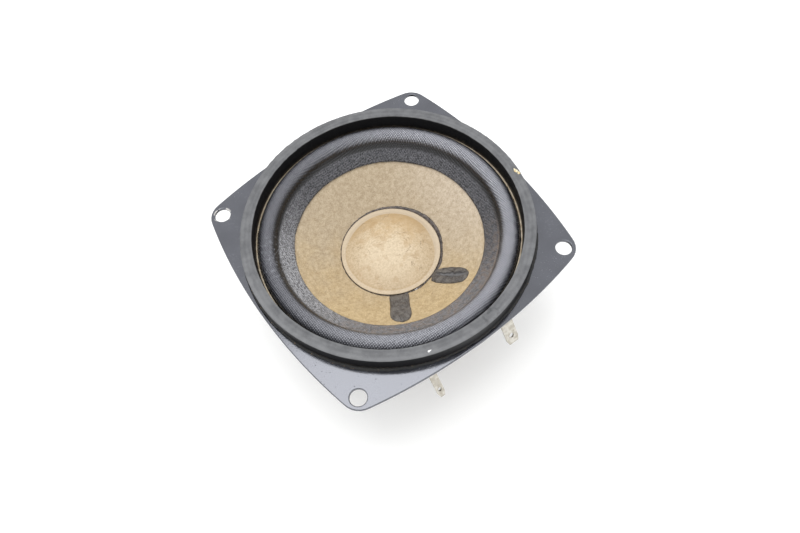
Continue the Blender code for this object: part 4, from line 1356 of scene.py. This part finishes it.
def foot_reach(point, angle):
    """Glue that came out further in some places, and most towards the flange's corners, where it is widened
    to serve as painted shade and reflection of the foam.
    """
    across, up = point
    spot = Vector((math.cos(angle) * 16, math.sin(angle) * 16, 2.0))
    corner_shade_widening = math.sin(2 * angle) ** 2
    width = 0.6 + 0.6 * corner_shade_widening + 0.3 * noise.noise(spot) + 0.16 * noise.noise(spot * 4)
    height = 0.42 + 0.16 * noise.noise(spot * 3)
    width = min(1.35, max(0.3, width))
    return FOOT_GLUE_START + across * width, flange_top + 0.02 + up * height


foot_glue = lathe("gasket_foot_glue", [
    (AT_WALL, 0.0), (AT_WALL, 1.0), (0.35, 1.0), (0.62, 0.8), (0.82, 0.5), (0.95, 0.25), (1.0, 0.0),
], 720, foot_reach)
black_glue = Finish("black_glue", (0.014, 0.013, 0.012), roughness=0.6)
lint = black_glue.noise(0.45, 3)
tone = black_glue.mix((0.006, 0.006, 0.006), (0.1, 0.09, 0.08), lint.step(0.6, 0.7) * 0.3)
tone = black_glue.mix(tone, (0.24, 0.16, 0.09), black_glue.noise(0.6, 2).step(0.66, 0.7) * 0.6)
black_glue.vary("Base Color", tone)
black_glue.vary("Roughness", 0.5 + lint * 0.2)
black_glue.relief(lint * 0.14 + black_glue.noise(1.4, 3) * 0.2)
done(foot_glue, "frame", "gasket", black_glue)


def crumb(place, size, seed):
    """A lump of dried glue, as a coarse ball pushed about and then smoothed."""
    lump = bmesh.new()
    bmesh.ops.create_icosphere(lump, subdivisions=3, radius=1.0)
    for vertex in lump.verts:
        push = 1 + 0.5 * noise.noise(vertex.co * 1.3 + Vector((seed, 0, 0)))
        vertex.co = Vector(place) * MM + Vector(a * b for a, b in zip(vertex.co * push, size)) * MM
    return lump


crumb_mesh = bpy.data.meshes.new("glue_crumbs")
gathered = bmesh.new()
WHITE_CRUMB = (-16.7, -43.9)
for place, size, seed in (
    ((45.7, -10.9, gasket_high.z - 0.06), (0.5, 0.9, 0.3), 2.0),
    ((45.9, -12.2, gasket_high.z - 0.06), (0.45, 0.6, 0.24), 5.0),
    ((*WHITE_CRUMB, gasket_high.z - 0.08), (0.7, 0.28, 0.16), 9.0),
):
    lump = crumb(place, size, seed)
    part = bpy.data.meshes.new("crumb")
    lump.to_mesh(part)
    lump.free()
    gathered.from_mesh(part)
gathered.to_mesh(crumb_mesh)
gathered.free()
crumb_mesh.shade_smooth()
crumbs = linked("glue_crumbs", crumb_mesh)
old_glue = Finish("yellowed_glue", (0.72, 0.6, 0.34), roughness=0.45)
age = old_glue.noise(0.7, 3)
tone = old_glue.mix((0.82, 0.74, 0.52), (0.6, 0.44, 0.2), age.step(0.4, 0.65))
old_glue.vary("Base Color", old_glue.mix(tone, (0.88, 0.88, 0.87), old_glue.near(*WHITE_CRUMB, 3)))
old_glue.relief(age * 0.05)
done(crumbs, "frame", "gasket", old_glue)


# ---- terminals ----
# A strip of brown paper laminate riveted under the arm by the near side carries two tinned steel
# tabs, a wide one and a narrow one, each blanked flat, bent square and riveted through its foot.

BOARD_THICKNESS = 1.5
TERMINAL_X = 15.5
BOARD_RIVET_X = 4.5
RIVET_S = 3.6
ARM_MEETING_RADIUS = 40.0
AIR = 0.3


def board_frame():
    """Place of the board: X along it, Y down the arm, Z in towards the basket."""
    height = WALL_FOOT - (WALL_RADIUS - ARM_MEETING_RADIUS) * slope_rise
    down = Vector((0, math.cos(ARM_SLOPE), -math.sin(ARM_SLOPE)))
    inward = Vector((0, math.sin(ARM_SLOPE), math.cos(ARM_SLOPE)))
    place = Matrix((Vector((1, 0, 0)), down, inward)).transposed().to_4x4()
    place.translation = Vector((0, -ARM_MEETING_RADIUS, height)) - (BOARD_THICKNESS + AIR) * inward
    return place


BOARD = board_frame()


def blanked(name, outline, holes, thickness, edge):
    """A flat blank with rounded edges, from an outline and round holes in its own XY plane."""
    drawing = bpy.data.curves.new(name, "CURVE")
    drawing.dimensions = "2D"
    drawing.fill_mode = "BOTH"
    drawing.extrude = (thickness / 2 - edge) * MM
    drawing.bevel_depth = edge * MM
    drawing.bevel_resolution = 2
    drawing.offset = -edge * MM
    rings = [outline]
    for (x, y), radius in holes:
        circle = [2 * math.pi * step / 28 for step in range(28)]
        rings.append([(x + radius * math.cos(a), y - radius * math.sin(a)) for a in circle])
    for ring in rings:
        line = drawing.splines.new("POLY")
        line.points.add(len(ring) - 1)
        for point, (x, y) in zip(line.points, ring):
            point.co = (x * MM, y * MM, 0, 1)
        line.use_cyclic_u = True
    drawn = linked(name, drawing)
    mesh = bpy.data.meshes.new_from_object(drawn.evaluated_get(bpy.context.evaluated_depsgraph_get()))
    bpy.data.objects.remove(drawn, do_unlink=True)
    welded = bmesh.new()
    welded.from_mesh(mesh)
    bmesh.ops.remove_doubles(welded, verts=welded.verts, dist=0.000005)
    bmesh.ops.recalc_face_normals(welded, faces=welded.faces)
    welded.to_mesh(mesh)
    welded.free()
    mesh.shade_smooth()
    return linked(name, mesh)


RIVET_HOLE_RADIUS = 1.3
BOARD_HALF = 20.5
BOARD_TOP = -1.5
BOARD_BOTTOM = 8.0
board_outline = [
    (-BOARD_HALF, BOARD_TOP), (BOARD_HALF, BOARD_TOP),
    (BOARD_HALF, BOARD_BOTTOM), (-BOARD_HALF, BOARD_BOTTOM),
]
rivet_row = (-TERMINAL_X, -BOARD_RIVET_X, BOARD_RIVET_X, TERMINAL_X)
board_holes = [((x, RIVET_S), RIVET_HOLE_RADIUS) for x in rivet_row]
board = blanked("laminate_board", board_outline, board_holes, BOARD_THICKNESS, 0.15)
settled(moved(board, BOARD @ Matrix.Translation((0, 0, BOARD_THICKNESS / 2))))
laminate = Finish("paper_laminate", (0.16, 0.075, 0.03), roughness=0.4)
ply = laminate.noise(1.2, 4, stretch=(1, 1, 4))
fine = laminate.noise(0.25, 3)
laminate.vary("Base Color", laminate.mix((0.13, 0.055, 0.022), (0.24, 0.12, 0.05), ply.step(0.35, 0.65)))
laminate.vary("Roughness", 0.32 + fine * 0.25)
laminate.relief(fine * 0.02 + ply * 0.01)
done(board, "frame", "board", laminate, "terminal_board")

TAB_SHEET = 0.8
TAB_LENGTH = 13.8
FOOT_LENGTH = 6.8
FOOT_HALF = 3.0
BEND_RADIUS = 0.8                     # to the middle of the sheet
TIP_LENGTH = 1.8
TIP_INSET = 0.6
TIP_TO_HOLE = 3.2
foot_plane = -AIR - TAB_SHEET / 2
straight = FOOT_LENGTH - BEND_RADIUS
bend_length = BEND_RADIUS * math.pi / 2
blade_length = TAB_LENGTH + foot_plane - BEND_RADIUS


def bent(piece, x):
    """Bend a flat tab square: its Y runs along the foot, round the bend and down the blade."""
    working = bmesh.new()
    working.from_mesh(piece.data)
    for step in range(9):
        y = (straight + bend_length * step / 8) * MM
        geometry = working.verts[:] + working.edges[:] + working.faces[:]
        bmesh.ops.bisect_plane(working, geom=geometry, plane_co=(0, y, 0), plane_no=(0, 1, 0), dist=1e-7)
    for vertex in working.verts:
        y = vertex.co.y / MM
        off = vertex.co.z / MM
        if y < straight:
            down, out = FOOT_LENGTH - y, foot_plane + off
        elif y < straight + bend_length:
            turn = (y - straight) / BEND_RADIUS
            down = BEND_RADIUS - (BEND_RADIUS + off) * math.sin(turn)
            out = foot_plane - BEND_RADIUS + (BEND_RADIUS + off) * math.cos(turn)
        else:
            down, out = -off, foot_plane - BEND_RADIUS - (y - straight - bend_length)
        vertex.co = (BOARD @ Vector((x + vertex.co.x / MM, down, out))) * MM
    bmesh.ops.recalc_face_normals(working, faces=working.faces)
    working.to_mesh(piece.data)
    working.free()
    return settled(piece)


tin = Finish("tinned_steel", (0.62, 0.59, 0.54), metallic=1.0, roughness=0.38)
dull = tin.noise(1.8, 4)
scores = tin.noise(0.4, 3, stretch=(1, 0.12, 0.12))
tone = tin.mix((0.64, 0.615, 0.56), (0.46, 0.43, 0.37), dull.step(0.35, 0.65))
rust = tin.noise(0.9, 4).step(0.66, 0.78)
tin.vary("Base Color", tin.mix(tone, (0.3, 0.19, 0.1), rust * 0.5))
tin.vary("Roughness", 0.3 + dull * 0.2 + rust * 0.2)
tin.vary("Metallic", 1 - rust * 0.6)
tin.relief(scores * 0.01 + dull * 0.01)
for name, x, half, eye in (
    ("terminal_narrow", -TERMINAL_X, 1.4, 0.7),
    ("terminal_wide", TERMINAL_X, 2.4, 0.9),
):
    tip = straight + bend_length + blade_length
    shoulder = straight - 0.4
    outline = [
        (-FOOT_HALF, 0.0), (FOOT_HALF, 0.0), (FOOT_HALF, shoulder), (half, shoulder + 0.35),
        (half, tip - TIP_LENGTH), (half - TIP_INSET, tip), (TIP_INSET - half, tip),
        (-half, tip - TIP_LENGTH), (-half, shoulder + 0.35), (-FOOT_HALF, shoulder),
    ]
    holes = [((0, FOOT_LENGTH - RIVET_S), RIVET_HOLE_RADIUS), ((0, tip - TIP_TO_HOLE), eye)]
    tab = bent(blanked(name + "_tab", outline, holes, TAB_SHEET, 0.14), x)
    done(tab, "frame", "terminal", tin, name)

outer_places = []
for x in (-BOARD_RIVET_X, BOARD_RIVET_X):
    outer_places.append(BOARD @ Matrix.Translation((x, RIVET_S, 0)) @ Matrix.Rotation(math.pi, 4, "X"))
inner_places = [BOARD @ Matrix.Translation((x, RIVET_S, 0)) for x in (-TERMINAL_X, TERMINAL_X)]
RIVET_TAIL = 0.6
arm_depth = BOARD_THICKNESS + AIR + SHEET + RIVET_TAIL
board_rivets = rivets("board_rivets", outer_places, -arm_depth, 0.04, 0.9, nickel)
done(board_rivets, "frame", "rivet", nickel, "board_rivet_left", "board_rivet_right")
foot_depth = AIR + TAB_SHEET + RIVET_TAIL
tab_rivets = rivets("tab_rivets", inner_places, -foot_depth, BOARD_THICKNESS + 0.04, 0.9, nickel)
done(tab_rivets, "frame", "rivet", nickel, "terminal_rivet_left", "terminal_rivet_right")

SOLDER_BASE = BOARD_THICKNESS + 1.3    # just over the rivet's head
SOLDER_HEIGHT = 1.3
solder_line = [
    (0, SOLDER_BASE + SOLDER_HEIGHT), (0.35, SOLDER_BASE + 1.25), (0.7, SOLDER_BASE + 1.05),
    (1.05, SOLDER_BASE + 0.72), (1.35, SOLDER_BASE + 0.4), (1.65, SOLDER_BASE + 0.05),
    (1.7, SOLDER_BASE - 0.25), (0, SOLDER_BASE - 0.25),
]
drop = lathe("solder_pattern", solder_line, 32)
solder = Finish("solder", (0.62, 0.62, 0.63), metallic=1.0, roughness=0.25)
frost = solder.noise(0.5, 3)
solder.vary("Base Color", solder.mix((0.66, 0.66, 0.67), (0.42, 0.41, 0.4), frost.step(0.45, 0.7)))
solder.vary("Roughness", 0.18 + frost * 0.25)
solder.relief(frost * 0.03)
joints = setting.make("solder_joints", spots("solder_joints", inner_places), solder, {"Piece": drop})
bpy.data.objects.remove(drop, do_unlink=True)
done(joints, "frame", "solder", solder, "solder_joint_left", "solder_joint_right")


# ---- tinsel leads ----
# Flexible braid of copper foil on cotton. Each lead leaves its glue blob behind the cone, loops
# free through a window and is soldered to its terminal, with slack for the cone's travel.

LEAD_RADIUS = 0.5
LEAD_HOLE = (12.6, -23.6)             # where it leaves the cone, on the right side
HELD_END = 0.5                        # stiff with solder or glue
BRAID_STRANDS = 6
CONE_ANGLE = math.atan2(CONE_EDGE_Z - CAP_FOOT_Z, CONE_EDGE_RADIUS - CAP_FOOT_RADIUS)


def smooth_route(points, count):
    """Points along a smooth curve through the given points."""
    route = []
    padded = [2 * points[0] - points[1], *points, 2 * points[-1] - points[-2]]
    for i in range(1, len(padded) - 2):
        before, start, end, after = padded[i - 1:i + 3]
        for step in range(count):
            t = step / count
            route.append(0.5 * (
                2 * start + (end - before) * t
                + (2 * before - 5 * start + 4 * end - after) * t ** 2
                + (3 * start - before - 3 * end + after) * t ** 3
            ))
    return route + [points[-1]]


braiding = Recipe("braid", {"Radius": "Float", "Strand": "Float", "Twist": "Float"})
path = braiding.node("GeometryNodeMeshToCurve", None, {0: braiding.given("Geometry")})
sockets = {"Curve": path, "Count": 140}
even = braiding.node("GeometryNodeResampleCurve", {"mode": "COUNT"}, sockets)
normal = braiding.node("GeometryNodeInputNormal")
tangent = braiding.node("GeometryNodeInputTangent")
sideways = braiding.node("ShaderNodeVectorMath", {"operation": "CROSS_PRODUCT"}, {0: tangent, 1: normal})
progress = braiding.node("GeometryNodeSplineParameter")
strands = []
for direction in (1, -1):
    sockets = {"Geometry": even, "Amount": BRAID_STRANDS}
    copies = braiding.node("GeometryNodeDuplicateElements", {"domain": "SPLINE"}, sockets, "Geometry")
    number = copies.also("Duplicate Index")
    turn = progress * braiding.given("Twist") * direction + number * (2 * math.pi / BRAID_STRANDS)
    weaving = (turn * BRAID_STRANDS / 2).sine() * braiding.given("Strand") * (0.7 * direction)
    reach = braiding.given("Radius") - braiding.given("Strand") + weaving
    sockets = {0: normal, "Scale": turn.cosine() * reach}
    aside = braiding.node("ShaderNodeVectorMath", {"operation": "SCALE"}, sockets)
    sockets = {0: sideways, "Scale": turn.sine() * reach}
    upward = braiding.node("ShaderNodeVectorMath", {"operation": "SCALE"}, sockets)
    offset = braiding.node("ShaderNodeVectorMath", {"operation": "ADD"}, {0: aside, 1: upward})
    strands_moved = braiding.node("GeometryNodeSetPosition", None, {"Geometry": copies, "Offset": offset})
    sockets = {"Resolution": 6, "Radius": braiding.given("Strand")}
    strand_round = braiding.node("GeometryNodeCurvePrimitiveCircle", {"mode": "RADIUS"}, sockets)
    sockets = {"Curve": strands_moved, "Profile Curve": strand_round, "Fill Caps": True}
    strands.append(braiding.node("GeometryNodeCurveToMesh", None, sockets))
braiding.end(braiding.together(strands))

foil = Finish("copper_foil_braid", (0.55, 0.4, 0.25), metallic=0.9, roughness=0.4)
glint = foil.noise(0.5, 3)
foil.vary("Base Color", foil.mix((0.6, 0.42, 0.26), (0.32, 0.2, 0.12), glint.step(0.4, 0.65)))
foil.vary("Roughness", 0.3 + glint * 0.3)
for side, sign in (("left", -1), ("right", 1)):
    hole = Vector((sign * LEAD_HOLE[0], LEAD_HOLE[1], 0))
    under_cone = cone_front(hole.length) - PAPER / math.cos(CONE_ANGLE) - LEAD_RADIUS * math.tan(CONE_ANGLE)
    start = Vector((hole.x, hole.y, under_cone - AIR))
    joint = BOARD @ Vector((sign * TERMINAL_X, RIVET_S - 0.6, SOLDER_BASE + SOLDER_HEIGHT + AIR))
    route = smooth_route([
        start,
        start + Vector((0, -0.3, -2.6)),
        start + Vector((sign * 1.2, -3.2, -7.4)),
        start + Vector((sign * 2.6, -7.8, -7.6)),
        joint + Vector((0, 1.6, 1.6)),
        joint,
    ], 8)
    line = bpy.data.meshes.new(f"lead_route_{side}")
    line.from_pydata([point * MM for point in route], [(i, i + 1) for i in range(len(route) - 1)], [])
    sizes = {"Radius": LEAD_RADIUS * MM, "Strand": 0.12 * MM, "Twist": 60.0}
    lead = braiding.make(f"braided_lead_{side}", line, foil, sizes)
    flexing(lead, start.xy.length + HELD_END, joint.xy.length - HELD_END)
    dressed(lead, "tinsel", foil, f"tinsel_lead_{side}")


# ---- size and finish ----
# The box of the plain solids, as they were loaded, and the box of the finished driver are put
# side by side in one table.

low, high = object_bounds()
sizes = {"cad": [list(cad_low), list(cad_high)], "visual": [list(low), list(high)]}
